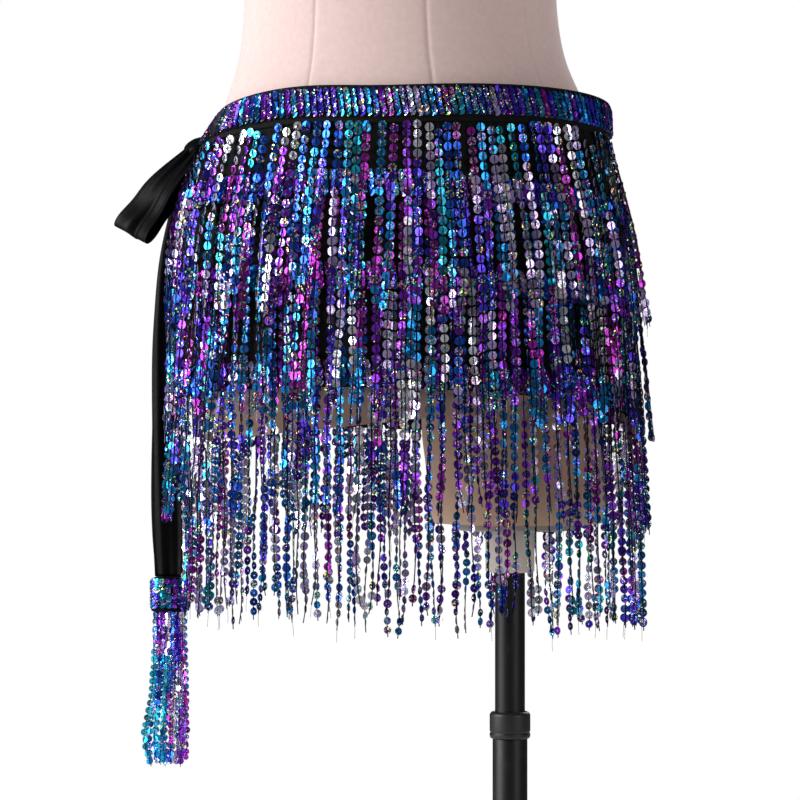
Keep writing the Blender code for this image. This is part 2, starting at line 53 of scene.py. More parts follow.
CAMERA_LENS = 148.0
CAMERA_SENSOR = 36.0
LIGHT_TARGET = (-0.08, 0, 0.75)
ROOM_LIGHT = 0.34
ROOM_LIGHT_IN_MIRRORS = 0.085
FLOOR_HALF = 1.7

camera_data = bpy.data.cameras.new("camera")
camera_data.lens = CAMERA_LENS
camera_data.sensor_width = CAMERA_SENSOR
camera = bpy.data.objects.new("camera", camera_data)
camera.location = CAMERA_PLACE
camera.rotation_euler = (math.radians(90), 0, 0)
bpy.context.scene.collection.objects.link(camera)
bpy.context.scene.camera = camera
bpy.context.scene.view_settings.view_transform = "Standard"


def to_linear(hex_colour):
    """An sRGB hex colour as linear red, green, blue and alpha."""
    parts = [int(hex_colour[i : i + 2], 16) / 255 for i in (1, 3, 5)]
    return [c / 12.92 if c <= 0.04045 else ((c + 0.055) / 1.055) ** 2.4 for c in parts] + [1.0]


def add_node(tree, kind, inputs=None, **settings):
    """Adds a shader node with its settings; inputs are values or other nodes' outputs."""
    node = tree.nodes.new("ShaderNode" + kind)
    for key, value in settings.items():
        setattr(node, key, value)
    for key, value in (inputs or {}).items():
        if isinstance(value, bpy.types.NodeSocket):
            tree.links.new(value, node.inputs[key])
        else:
            node.inputs[key].default_value = value
    return node


def new_material(name, colour, roughness, metallic=0.0):
    """A Principled material. Returns the material, its node tree and its shader."""
    mat = bpy.data.materials.new(name)
    mat.use_nodes = True
    shader = mat.node_tree.nodes["Principled BSDF"]
    shader.inputs["Base Color"].default_value = to_linear(colour)
    shader.inputs["Roughness"].default_value = roughness
    shader.inputs["Metallic"].default_value = metallic
    return mat, mat.node_tree, shader


def area_light(name, place, target, size, watts, colour):
    """A square soft light at a place, turned to a target."""
    data = bpy.data.lights.new(name, "AREA")
    data.size = size
    data.energy = watts
    data.color = to_linear(colour)[:3]
    lamp = bpy.data.objects.new(name, data)
    lamp.location = place
    direction = np.array(target) - np.array(place)
    level = math.hypot(direction[0], direction[1])
    lamp.rotation_euler = (math.atan2(level, -direction[2]), 0, math.atan2(-direction[0], direction[1]))
    bpy.context.scene.collection.objects.link(lamp)


area_light("key_light", (-3.0, -1.0, 1.8), (-0.08, 0, 0.8), 1.5, 130, "#FFFFFF")
area_light("left_strip", (-2.4, -0.2, 1.0), LIGHT_TARGET, 0.9, 18, "#FFFFFF")
area_light("fill_light", (2.4, -2.3, 1.5), LIGHT_TARGET, 1.5, 32, "#FFF8F2")
area_light("back_light", (0.9, 2.4, 1.9), LIGHT_TARGET, 1.4, 30, "#FFFFFF")

# The room's own light is even. It is white to the camera, and weaker in the sequins' mirrors.
world = bpy.data.worlds.new("studio")
world.use_nodes = True
world_tree = world.node_tree
for old_node in list(world_tree.nodes):
    world_tree.nodes.remove(old_node)
ray = add_node(world_tree, "LightPath").outputs
seen = add_node(world_tree, "Background", {"Color": (1, 1, 1, 1), "Strength": 1.0})
dimmed = {"Value": ray["Is Glossy Ray"], "To Min": ROOM_LIGHT, "To Max": ROOM_LIGHT_IN_MIRRORS}
strength = add_node(world_tree, "MapRange", dimmed).outputs["Result"]
room = add_node(world_tree, "Background", {"Color": (0.94, 0.95, 1.0, 1), "Strength": strength})
either = {0: ray["Is Camera Ray"], 1: room.outputs[0], 2: seen.outputs[0]}
both = add_node(world_tree, "MixShader", either)
add_node(world_tree, "OutputWorld", {"Surface": both.outputs[0]})
bpy.context.scene.world = world

floor_mesh = bpy.data.meshes.new("floor")
floor_corners = [(x * FLOOR_HALF, y * FLOOR_HALF, 0.0) for x, y in ((-1, -1), (1, -1), (1, 1), (-1, 1))]
floor_mesh.from_pydata(floor_corners, [], [(0, 1, 2, 3)])
floor = bpy.data.objects.new("floor", floor_mesh)
bpy.context.scene.collection.objects.link(floor)
# Floor paint: pale grey and matt.
floor_paint, _, _ = new_material("floor_matt_paint", "#EDEDEB", 0.9)
floor_mesh.materials.append(floor_paint)


# The stand: a round steel base plate and two powder-coated steel tubes, one sliding in the other
# through a moulded nylon collar, which grips it at the wanted height.
TUBE_SIDES = 96
BASE_RADIUS = 0.1900
HUB_RADIUS = 0.0240
OUTER_TUBE_RADIUS = 0.01325
OUTER_TUBE_BORE = 0.0118
INNER_TUBE_RADIUS = 0.0114
PLATE_RADIUS = 0.0448
PLATE_CENTRE = (0.0046, 0.0)


def place_mesh(name, points, faces, mat, smooth=True):
    """Puts points and faces into a named object that stands at the origin."""
    mesh = bpy.data.meshes.new(name)
    mesh.from_pydata(np.asarray(points).reshape(-1, 3).tolist(), [], np.asarray(faces).tolist())
    mesh.update()
    thing = bpy.data.objects.new(name, mesh)
    bpy.context.scene.collection.objects.link(thing)
    mesh.materials.append(mat)
    if smooth:
        mesh.shade_smooth()
    return thing


def grid_faces(rows, columns, wrap):
    """Quads between neighbouring rows and columns of a grid; wrap joins the last column to the first."""
    index = np.arange(rows * columns).reshape(rows, columns)
    right = np.roll(index, -1, axis=1) if wrap else index[:, 1:]
    left = index if wrap else index[:, :-1]
    quads = np.stack([left[:-1], right[:-1], right[1:], left[1:]], axis=-1)
    return quads.reshape(-1, 4)


def grid_mesh(name, points, wrap, mat):
    """A mesh over rows and columns of points; wrap joins the last column to the first."""
    return place_mesh(name, points, grid_faces(*points.shape[:2], wrap), mat)


def close_up(thing, sharp_degrees=35):
    """Merges the doubled points of a pole or a seam and turns every face outwards."""
    bm = bmesh.new()
    bm.from_mesh(thing.data)
    bmesh.ops.remove_doubles(bm, verts=bm.verts, dist=1e-6)
    bmesh.ops.recalc_face_normals(bm, faces=bm.faces)
    bm.to_mesh(thing.data)
    bm.free()
    thing.data.shade_smooth()
    thing.data.set_sharp_from_angle(angle=math.radians(sharp_degrees))
    return thing


def rounded(corners, radius, steps=5):
    """A profile whose corners are eased: each gives way to a short curve between its two sides."""
    corners = np.array(corners, dtype=float)
    out = [corners[:1]]
    for before, corner, after in zip(corners, corners[1:], corners[2:]):
        reach = min(radius, 0.45 * np.linalg.norm(before - corner), 0.45 * np.linalg.norm(after - corner))
        start = corner + reach * (before - corner) / np.linalg.norm(before - corner)
        end = corner + reach * (after - corner) / np.linalg.norm(after - corner)
        share = np.linspace(0, 1, steps)[:, None]
        out.append((1 - share) ** 2 * start + 2 * share * (1 - share) * corner + share**2 * end)
    out.append(corners[-1:])
    return np.concatenate(out)


def turned(name, profile, mat, centre=(0.0, 0.0)):
    """A lathe's surface: the profile's (radius, height) points carried round an upright axis."""
    turn = np.linspace(0, 2 * math.pi, TUBE_SIDES, endpoint=False)
    radius, height = profile[:, 0][:, None], profile[:, 1][:, None]
    x = centre[0] + radius * np.cos(turn)
    y = centre[1] + radius * np.sin(turn)
    points = np.stack([x, y, np.broadcast_to(height, x.shape)], axis=-1)
    return close_up(grid_mesh(name, points, True, mat))


def noise(tree, where, scale, detail, roughness=0.5):
    """A soft noise at coordinates where: its factor."""
    inputs = {"Vector": where, "Scale": scale, "Detail": detail, "Roughness": roughness}
    return add_node(tree, "TexNoise", inputs).outputs["Fac"]


def blend(tree, factor, first, second):
    """A mix of two colours by factor; each is a hex colour or another node's output."""
    ends = {6: first, 7: second}
    inputs = {key: to_linear(c) if isinstance(c, str) else c for key, c in ends.items()}
    return add_node(tree, "Mix", {"Factor": factor, **inputs}, data_type="RGBA").outputs[2]


def add_bump(tree, shader, height, strength, distance):
    """Gives a shader a bump from a pattern of heights, laid over the bump that it has already."""
    inputs = {"Height": height, "Strength": strength, "Distance": distance}
    bump = add_node(tree, "Bump", inputs)
    if shader.inputs["Normal"].is_linked:
        tree.links.new(shader.inputs["Normal"].links[0].from_socket, bump.inputs["Normal"])
    tree.links.new(bump.outputs["Normal"], shader.inputs["Normal"])


def moulded_plastic(name, colour, roughness, scale, dark, pale):
    """A moulded plastic, faintly cloudy: two close tones mixed by a soft noise."""
    mat, tree, shader = new_material(name, colour, roughness)
    spot = add_node(tree, "TexCoord").outputs["Object"]
    cloudy = blend(tree, noise(tree, spot, scale, 3.0), dark, pale)
    tree.links.new(cloudy, shader.inputs["Base Color"])
    return mat


# Powder-coated steel: black, satin, with a fine orange-peel skin and a few rubbed, paler marks.
powder_coat, tree, shader = new_material("powder_coated_steel", "#0E0E13", 0.42)
shader.inputs["Specular IOR Level"].default_value = 0.3
spot = add_node(tree, "TexCoord").outputs["Object"]
wear = noise(tree, spot, 55.0, 5.0, 0.7)
marks = add_node(tree, "MapRange", {"Value": wear, "From Min": 0.60, "From Max": 0.72})
coat = blend(tree, marks.outputs["Result"], "#08080A", "#1C191A")
tree.links.new(coat, shader.inputs["Base Color"])
dull = add_node(tree, "MapRange", {"Value": wear, "To Min": 0.34, "To Max": 0.55})
tree.links.new(dull.outputs["Result"], shader.inputs["Roughness"])
add_bump(tree, shader, noise(tree, spot, 900.0, 2.0), 0.25, 0.0003)

# Each profile is a table of a radius and a height at every corner.
base_profile = rounded(
    (
        (0.0, 0.0),
        (BASE_RADIUS - 0.001, 0.0),
        (BASE_RADIUS, 0.001),
        (BASE_RADIUS, 0.006),
        (BASE_RADIUS - 0.003, 0.009),
        (2 * HUB_RADIUS, 0.018),
        (HUB_RADIUS, 0.019),
        (HUB_RADIUS - 0.002, 0.030),
        (0.0, 0.030),
    ),
    0.002,
)
base = turned("base_plate_shell", base_profile, powder_coat)
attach(base, "stand")
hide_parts("base_plate")

outer_profile = rounded(
    (
        (OUTER_TUBE_BORE, 0.0303),
        (OUTER_TUBE_RADIUS, 0.0303),
        (OUTER_TUBE_RADIUS, 0.4627),
        (OUTER_TUBE_BORE, 0.4627),
        (OUTER_TUBE_BORE, 0.0303),
    ),
    0.0004,
    3,
)
outer_tube = turned("pole_outer_tube_steel", outer_profile, powder_coat)
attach(outer_tube, "stand")
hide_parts("pole_outer_tube")

inner_profile = rounded(
    ((0.0, 0.2100), (INNER_TUBE_RADIUS, 0.2100), (INNER_TUBE_RADIUS, 0.6209), (0.0, 0.6209)),
    0.0006,
    3,
)
inner_tube = turned("pole_inner_tube_steel", inner_profile, powder_coat)
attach(inner_tube, "form")
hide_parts("pole_inner_tube")

# Moulded nylon: dense black, a little softer than the paint beside it, with eased edges.
nylon, tree, shader = new_material("moulded_nylon", "#0B0B0D", 0.48)
spot = add_node(tree, "TexCoord").outputs["Object"]
add_bump(tree, shader, noise(tree, spot, 1400.0, 1.0), 0.2, 0.0002)
collar_profile = rounded(
    (
        (0.0115, 0.4630),
        (0.0148, 0.4630),
        (0.0155, 0.4650),
        (0.0155, 0.4668),
        (0.0150, 0.4673),
        (0.0150, 0.4681),
        (0.0155, 0.4686),
        (0.0155, 0.4814),
        (0.0139, 0.4834),
        (0.0115, 0.4834),
        (0.0115, 0.4630),
    ),
    0.0010,
)
collar = turned("pole_collar_moulding", collar_profile, nylon)
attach(collar, "stand")
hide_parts("pole_collar")

# The socket under the thigh stub is a moulded sleeve, beige with a grey tinge.
socket_plastic = moulded_plastic("moulded_beige_plastic", "#B5AAA1", 0.5, 60.0, "#A99E96", "#BFB5AC")
socket_profile = rounded(
    (
        (0.0117, 0.5893),
        (0.0178, 0.5893),
        (0.0186, 0.5901),
        (0.0186, 0.6209),
        (0.0117, 0.6209),
        (0.0117, 0.5893),
    ),
    0.0012,
)
socket = turned("pole_socket_sleeve", socket_profile, socket_plastic)
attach(socket, "form")
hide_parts("pole_socket")

# The plate that closes the thigh stub is a grey moulding.
plate_plastic = moulded_plastic("moulded_grey_plastic", "#8E8A86", 0.55, 80.0, "#807C78", "#98948F")
plate_profile = rounded(
    ((0.0, 0.6212), (PLATE_RADIUS, 0.6212), (PLATE_RADIUS, 0.6267), (0.0, 0.6267)), 0.0012
)
plate = turned("form_stub_plate_disc", plate_profile, plate_plastic, PLATE_CENTRE)
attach(plate, "form")
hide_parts("form_stub_plate")


# The dress form: a hollow moulded torso under a tight, thinly padded cover of fine beige linen,
# sewn from upright panels. It is cut flat under the hip; a short thigh stub carries the pole.
# Each row of its tables is a height, half the width, half the depth and the middle in X.
FORM_PROFILE = (
    (0.700, 0.1430, 0.1000, -0.0785),
    (0.725, 0.1560, 0.1080, -0.0785),
    (0.760, 0.1650, 0.1120, -0.0785),
    (0.800, 0.1680, 0.1125, -0.0785),
    (0.840, 0.1655, 0.1100, -0.0785),
    (0.880, 0.1580, 0.1060, -0.0785),
    (0.915, 0.1480, 0.1010, -0.0790),
    (0.945, 0.1365, 0.0955, -0.0800),
    (0.978, 0.1245, 0.0905, -0.0820),
    (1.010, 0.1195, 0.0875, -0.0830),
    (1.040, 0.1185, 0.0870, -0.0834),
    (1.080, 0.1205, 0.0890, -0.0834),
    (1.130, 0.1265, 0.0945, -0.0834),
    (1.190, 0.1360, 0.1040, -0.0834),
    (1.245, 0.1430, 0.1120, -0.0834),
    (1.300, 0.1500, 0.1040, -0.0834),
    (1.345, 0.1600, 0.0900, -0.0834),
    (1.375, 0.1640, 0.0780, -0.0834),
    (1.395, 0.1540, 0.0670, -0.0834),
    (1.412, 0.1240, 0.0590, -0.0834),
    (1.426, 0.0880, 0.0550, -0.0834),
    (1.440, 0.0650, 0.0535, -0.0834),
    (1.460, 0.0560, 0.0530, -0.0834),
    (1.495, 0.0540, 0.0525, -0.0834),
)
STUB_PROFILE = (
    (0.6270, 0.0646, 0.0800, 0.0068),
    (0.6320, 0.0660, 0.0815, 0.0064),
    (0.6700, 0.0670, 0.0840, 0.0030),
    (0.7000, 0.0672, 0.0850, 0.0000),
    (0.7300, 0.0620, 0.0820, -0.0030),
    (0.7500, 0.0560, 0.0780, -0.0050),
)
FORM_CENTRE_Y = 0.004
SEAM_ANGLES = (-122, -81, -40, 0, 58, 99, 140, 180)
STUB_SEAM_ANGLES = (-160,)
SEAM_DEPTH = 0.0007
SEAM_WIDTH = 0.0016
SEAM_COLUMNS = np.array([-0.022, -0.014, -0.008, -0.004, 0, 0.004, 0.008, 0.014, 0.022])
# The cut under the hip slopes up by this much a metre to the viewer's right, as far as X = 0.
CUT_SLOPE = 0.105
CUT_LEVEL_AT = -0.1285
CUT_FADE = 0.018


def follow(table, column, z):
    """A smooth curve through one column of a table of heights: a cubic between each two rows."""
    rows = np.array(table)
    heights, values = rows[:, 0], rows[:, column]
    slopes = np.gradient(values, heights)
    i = np.clip(np.searchsorted(heights, z) - 1, 0, len(heights) - 2)
    step = heights[i + 1] - heights[i]
    s = np.clip((z - heights[i]) / step, 0, 1)
    start = (1 + 2 * s) * (1 - s) ** 2 * values[i] + s * (1 - s) ** 2 * step * slopes[i]
    return start + s * s * (3 - 2 * s) * values[i + 1] + s * s * (s - 1) * step * slopes[i + 1]


def body_surface(name, table, heights, columns, cut_slope, seams):
    """Level ellipses stacked up the heights, closed at both ends, pinched in along the seams.

    A seam's pinch falls off as a bell curve beside it, and so does the slope above the cut.
    """
    even = np.linspace(0, 2 * math.pi, columns, endpoint=False)
    beside = np.radians(seams)[:, None] + SEAM_COLUMNS
    angle = np.sort(np.concatenate((even, beside.ravel() % (2 * math.pi))))[None, :]
    z = np.concatenate(([heights[0]], heights, [heights[-1]]))[:, None]
    shrink = np.ones_like(z)
    shrink[[0, -1]] = 0.0
    pinch = np.zeros_like(angle * z)
    for seam in seams:
        away = (angle - math.radians(seam) + math.pi) % (2 * math.pi) - math.pi
        reach = away * follow(table, 1, z)
        pinch = pinch + SEAM_DEPTH * np.exp(-((reach / SEAM_WIDTH) ** 2))
    x = follow(table, 3, z) + shrink * (follow(table, 1, z) - pinch) * np.cos(angle)
    y = FORM_CENTRE_Y + shrink * (follow(table, 2, z) - pinch) * np.sin(angle)
    fade = np.exp(-(((z - heights[0]) / CUT_FADE) ** 2))
    tilt = fade * cut_slope * (np.minimum(x, 0.0) - CUT_LEVEL_AT)
    points = np.stack([x, y, z + tilt], axis=-1)
    return close_up(grid_mesh(name, points, True, linen), 50)


def stripes(tree, where, scale, distortion, direction):
    """Parallel bands across a direction, at coordinates where: their factor."""
    inputs = {"Vector": where, "Scale": scale, "Distortion": distortion}
    return add_node(tree, "TexWave", inputs, bands_direction=direction).outputs["Fac"]


# Fine linen: a plain weave, drawn coarser than it is so that it shows, with slubs and a faint
# unevenness from the padding under it. Low down it is browner and darker: painted shade, which
# stands in for the shade that the fringe casts on the hips and the stub.
linen, tree, shader = new_material("woven_linen_cover", "#C7AEA9", 0.88)
shader.inputs["Sheen Weight"].default_value = 0.25
shader.inputs["Sheen Roughness"].default_value = 0.6
spot = add_node(tree, "TexCoord").outputs["Object"]
warp, weft = stripes(tree, spot, 460.0, 0.6, "X"), stripes(tree, spot, 460.0, 0.6, "Z")
weave = add_node(tree, "Math", {0: warp, 1: weft}, operation="ADD")
shade = blend(tree, noise(tree, spot, 240.0, 4.0), "#BFA49E", "#CFB8B4")
up = add_node(tree, "SeparateXYZ", {"Vector": spot}).outputs["Z"]
# Painted shade: below 0.80 m the linen fades to a darker brown, standing in for the fringe's shade on the
# hips and the stub.
painted_fringe_shade = add_node(tree, "MapRange", {"Value": up, "From Min": 0.80, "From Max": 0.70})
linen_with_painted_shade = blend(tree, painted_fringe_shade.outputs["Result"], shade, "#A98970")
tree.links.new(linen_with_painted_shade, shader.inputs["Base Color"])
add_bump(tree, shader, weave.outputs[0], 0.10, 0.0003)
add_bump(tree, shader, noise(tree, spot, 14.0, 2.0), 0.10, 0.004)

form_heights = np.concatenate((np.linspace(0.700, 0.93, 50), np.linspace(0.936, 1.495, 100)))
form_body = body_surface(
    "form_linen_body", FORM_PROFILE, form_heights, 160, CUT_SLOPE, SEAM_ANGLES
)
stub_heights = np.linspace(0.627, 0.75, 40)
form_stub = body_surface("form_linen_stub", STUB_PROFILE, stub_heights, 128, 0.0, STUB_SEAM_ANGLES)
for cover in (form_body, form_stub):
    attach(cover, "form")
    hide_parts("form_body")


# The scarf's cloth: a wrap of black stretch knit that lies on the hips from under the waistband
# to the hem and falls straight from their widest place, with the soft waves of a cut edge.
# Each row of its table is a height, then half its width and half its depth there.
SKIRT_PROFILE = (
    (0.500, 0.1702, 0.1148),
    (0.700, 0.1702, 0.1148),
    (0.760, 0.1700, 0.1144),
    (0.800, 0.1694, 0.1138),
    (0.840, 0.1666, 0.1112),
    (0.870, 0.1615, 0.1082),
    (0.900, 0.1549, 0.1044),
    (0.935, 0.1490, 0.1000),
)
SKIRT_CENTRE = (-0.0785, 0.004)
HIP_HALVES = (0.170, 0.1145)
HIP_COLUMNS = 320
SLIT_ANGLE = math.radians(162)
SLIT_HALF_ANGLE = 0.06
WAVE_COUNT = 7
WAVE_SIZE = 0.0022
WAVE_PHASE = 0.9
WAVE_TOP = 0.800
WAVE_FADE = 0.080
CLOTH_OUT = 0.0003
CLOTH_THICKNESS = 0.001
CLOTH_TUCK = 0.004
BAND_TOP = 0.9350
BAND_BOTTOM = 0.9120
# A tilt is how far a level rises to the viewer's right and to the back.
BAND_TILT = (0.0070, -0.0150)
TAPE_TILT = (-0.0056, -0.0160)
TAPE_TOPS = (0.8724, 0.8042, 0.7330)
TAPE_HEIGHT = 0.0205
LEFT_RISE = 0.0072
LEFT_RISE_ANGLE = math.radians(212)
LEFT_RISE_SPREAD = math.radians(42)


def outward(angle):
    """The level direction out of the hips at each angle: an ellipse's normal, and zero upwards."""
    x, y = np.cos(angle) / HIP_HALVES[0], np.sin(angle) / HIP_HALVES[1]
    size = np.hypot(x, y)
    return np.stack([x / size, y / size, np.zeros_like(x)], axis=-1)


def sideways(angle):
    """The level direction along the hips at each angle, a quarter turn from outward."""
    out = outward(angle)
    return np.stack([-out[..., 1], out[..., 0], out[..., 2]], axis=-1)


def skirt(angle, z, out):
    """A point off the skirt's surface: a level ellipse by height, plus the hem's waves, plus out."""
    angle, z, out = np.broadcast_arrays(angle, z, out)
    hang = np.clip((WAVE_TOP - z) / WAVE_FADE, 0, 1)
    ripple = WAVE_SIZE * hang * np.sin(WAVE_COUNT * angle + WAVE_PHASE)
    x = SKIRT_CENTRE[0] + follow(SKIRT_PROFILE, 1, z) * np.cos(angle)
    y = SKIRT_CENTRE[1] + follow(SKIRT_PROFILE, 2, z) * np.sin(angle)
    return np.stack([x, y, z], axis=-1) + outward(angle) * (out + ripple)[..., None]


def tilted(height, angle, tilt):
    """A level that rises by tilt's two amounts to the viewer's right and to the back."""
    return height + tilt[0] * np.cos(angle) + tilt[1] * np.sin(angle)


def apart(angle, other):
    """How far an angle is from another, the short way round."""
    return (angle - other + math.pi) % (2 * math.pi) - math.pi


def band_line(height):
    """A level of the waistband, as a function of the angle round the hips."""

    def line(angle):
        """The level at these angles: tilted, plus a flat-topped bell of a rise in front of the knot."""
        rise = LEFT_RISE * np.exp(-((apart(angle, LEFT_RISE_ANGLE) / LEFT_RISE_SPREAD) ** 4))
        return tilted(height, angle, BAND_TILT) + rise

    return line


def tape_edge(row, share):
    """A fringe tape's level by angle, at a share of the way from its upper to its lower edge."""
    return lambda angle: tilted(TAPE_TOPS[row - 1] - TAPE_HEIGHT * share, angle, TAPE_TILT)


def round_the_hips(shares):
    """Angles at equal steps of length round the hips, from one side of the slit to the other."""
    first, last = SLIT_ANGLE + SLIT_HALF_ANGLE, SLIT_ANGLE + 2 * math.pi - SLIT_HALF_ANGLE
    fine = np.linspace(first, last, 1441)
    speed = np.hypot(HIP_HALVES[0] * np.sin(fine), HIP_HALVES[1] * np.cos(fine))
    run = np.concatenate(([0.0], np.cumsum(0.5 * (speed[1:] + speed[:-1]) * np.diff(fine))))
    return np.interp(np.asarray(shares) * run[-1], run, fine), run[-1]


def thicken(thing, thickness, offset):
    """Gives a sheet its thickness: offset is -1 for outwards from its points and 0 for both ways."""
    wall = thing.modifiers.new("thickness", "SOLIDIFY")
    wall.thickness = thickness
    wall.offset = offset


def lay_uv(thing, rows, columns, width, length):
    """A flat map in metres of the cut, named cut: across is u and down is v."""
    layer = thing.data.uv_layers.new(name="cut")
    u, v = np.meshgrid(np.linspace(0, width, columns), np.linspace(0, length, rows))
    flat = np.stack([u.ravel(), v.ravel()], axis=-1)
    corners = np.empty(len(thing.data.loops), dtype=np.int64)
    thing.data.loops.foreach_get("vertex_index", corners)
    layer.data.foreach_set("uv", flat[corners].ravel())


def hip_strip(name, top, bottom, out, rows, thickness, lean=None):
    """A strip of jersey round the hips between two levels, thickened outwards; also its cut.

    It lies that far out on the skirt, or else on lean(angle, share, out), share being down it.
    """
    angle, length = round_the_hips(np.linspace(0, 1, HIP_COLUMNS))
    share = np.linspace(0, 1, rows)[:, None]
    high, low = top(angle)[None, :], bottom(angle)[None, :]
    if lean is None:
        points = skirt(angle[None, :], high + (low - high) * share, out)
    else:
        points = lean(angle[None, :], share, out)
    thing = grid_mesh(name, points, False, jersey)
    height = float(np.mean(high - low))
    lay_uv(thing, rows, HIP_COLUMNS, length, height)
    thicken(thing, thickness, -1.0)
    return thing, (length, height)


# Black polyester-elastane jersey: matt, with upright ribs about 2 mm apart and a soft sheen.
jersey, tree, shader = new_material("stretch_jersey", "#040405", 0.85)
shader.inputs["Specular IOR Level"].default_value = 0.2
shader.inputs["Sheen Weight"].default_value = 0.012
shader.inputs["Sheen Roughness"].default_value = 0.5
flat_map = add_node(tree, "UVMap", uv_map="cut").outputs["UV"]
ribs, loops = stripes(tree, flat_map, 145.0, 0.3, "X"), noise(tree, flat_map, 700.0, 2.0)
knit = add_node(tree, "Math", {0: ribs, 1: loops}, operation="MULTIPLY")
add_bump(tree, shader, knit.outputs[0], 0.5, 0.0004)

cloth_top = band_line(BAND_BOTTOM + CLOTH_TUCK)
cloth, cloth_cut = hip_strip(
    "scarf_cloth_jersey", cloth_top, tape_edge(3, 1), CLOTH_OUT, 48, CLOTH_THICKNESS
)
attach(cloth, "form")
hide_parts("scarf_cloth")


# The sequins: round foil punched from holographic film, 6.6 mm across, each threaded through its
# middle. The thread pulls it into a faint crease, so that its two halves catch the light apart.
SEQUIN_SIDES = 12
HOLE_SHARE = 0.17
GLITTER_MEAN = 0.13
GLITTER_LIMITS = (0.01, 0.70)
TONE_LIMITS = (0.35, 1.3)
FILM_COLOURS = (
    "#1482CC", "#1A56CC", "#4632CC", "#7C2AC4", "#9C26A8", "#BCACE4", "#E0DEF4", "#18A2C4",
)
chance = np.random.default_rng(20)


def sequin_template():
    """One sequin as flat points of unit radius and its triangles: a ring round a small hole."""
    outer = np.arange(SEQUIN_SIDES) * 2 * math.pi / SEQUIN_SIDES
    inner = math.pi / 6 + np.arange(SEQUIN_SIDES // 2) * 4 * math.pi / SEQUIN_SIDES
    ring = np.stack([np.cos(outer), np.sin(outer)], axis=-1)
    hole = HOLE_SHARE * np.stack([np.cos(inner), np.sin(inner)], axis=-1)
    faces = []
    for j in range(SEQUIN_SIDES // 2):
        here, there = SEQUIN_SIDES + j, SEQUIN_SIDES + (j + 1) % (SEQUIN_SIDES // 2)
        a, b, c = 2 * j, 2 * j + 1, (2 * j + 2) % SEQUIN_SIDES
        faces += [(a, b, here), (b, c, here), (here, c, there)]
    return np.concatenate([ring, hole]), np.array(faces)


def tipped(level, nod):
    """A sequin's normal and up: a level direction and the upright one, turned upwards by nod."""
    upright = np.array([[0.0, 0.0, 1.0]])
    along, rise = np.cos(nod)[:, None], np.sin(nod)[:, None]
    return level * along + upright * rise, upright * along - level * rise


def sequins(name, centre, normal, up, radius, crease, colour, shimmer=GLITTER_MEAN):
    """Joined sequins: each is the template on its own axes, bent back on both sides of the crease.

    Their attribute named film holds the colour, and in its alpha the share of grains that flash.
    """
    flat, faces = sequin_template()
    side = np.cross(up, normal)
    u, v = flat[:, 0][None, :, None], flat[:, 1][None, :, None]
    bend = -np.abs(u) * crease[:, None, None]
    spread = u * side[:, None] + v * up[:, None] + bend * normal[:, None]
    points = centre[:, None] + radius[:, None, None] * spread
    count, each = points.shape[:2]
    index = faces[None] + (np.arange(count) * each)[:, None, None]
    thing = place_mesh(name, points, index.reshape(-1, 3), film, smooth=False)
    glitter = np.clip(chance.exponential(shimmer, count), *GLITTER_LIMITS)[:, None]
    tint = np.concatenate([colour, glitter], axis=1)
    layer = thing.data.color_attributes.new("film", "FLOAT_COLOR", "POINT")
    layer.data.foreach_set("color", np.repeat(tint, each, axis=0).ravel().astype(np.float32))
    return thing


def dyed_string(position, shortest, longest, weights):
    """The film's colour at each place along one long string, dyed in stretches of uneven length."""
    total = float(position.max()) + longest
    lengths = chance.uniform(shortest, longest, int(2 * total / (shortest + longest)) + 8)
    edges = np.cumsum(lengths)
    picks = chance.choice(len(FILM_COLOURS), len(edges) + 1, p=weights)
    palette = np.array([to_linear(c)[:3] for c in FILM_COLOURS])
    base = palette[picks[np.searchsorted(edges, position)]]
    tone = chance.uniform(*TONE_LIMITS, position.shape)[..., None]
    return np.clip(base * tone, 0, 1)


# Holographic PET film: a vapour-coated mirror embossed with tiny gratings. The base colour comes
# from each sequin; grains about 0.8 mm wide tilt apart, and some flash in rainbow colours.
film, tree, shader = new_material("holographic_pet_film", "#3060B0", 0.25, 0.8)
spot = add_node(tree, "TexCoord").outputs["Object"]
tone = add_node(tree, "Attribute", attribute_name="film")
grains = add_node(tree, "TexVoronoi", {"Vector": spot, "Scale": 1200.0}, feature="F1").outputs["Color"]
parts = add_node(tree, "SeparateColor", {"Color": grains})
rainbow = add_node(tree, "CombineColor", {0: parts.outputs[0], 1: 0.85, 2: 1.0}, mode="HSV")
chosen = {0: parts.outputs[1], 1: tone.outputs["Alpha"]}
flash = add_node(tree, "Math", chosen, operation="LESS_THAN").outputs[0]
foil = blend(tree, flash, tone.outputs["Color"], rainbow.outputs["Color"])
tree.links.new(foil, shader.inputs["Base Color"])
mirror = add_node(tree, "MapRange", {"Value": flash, "To Min": 0.8, "To Max": 0.75})
tree.links.new(mirror.outputs["Result"], shader.inputs["Metallic"])
facing = add_node(tree, "NewGeometry").outputs["Normal"]
centred = add_node(tree, "VectorMath", {0: grains, 1: (0.5, 0.5, 0.5)}, operation="SUBTRACT")
lift = add_node(tree, "MapRange", {"Value": flash, "To Min": 0.16, "To Max": 0.7})
lean = {0: centred.outputs[0], "Scale": lift.outputs["Result"]}
leaning = add_node(tree, "VectorMath", lean, operation="SCALE")
added = add_node(tree, "VectorMath", {0: facing, 1: leaning.outputs[0]}, operation="ADD")
unit = add_node(tree, "VectorMath", {0: added.outputs[0]}, operation="NORMALIZE")
tree.links.new(unit.outputs[0], shader.inputs["Normal"])


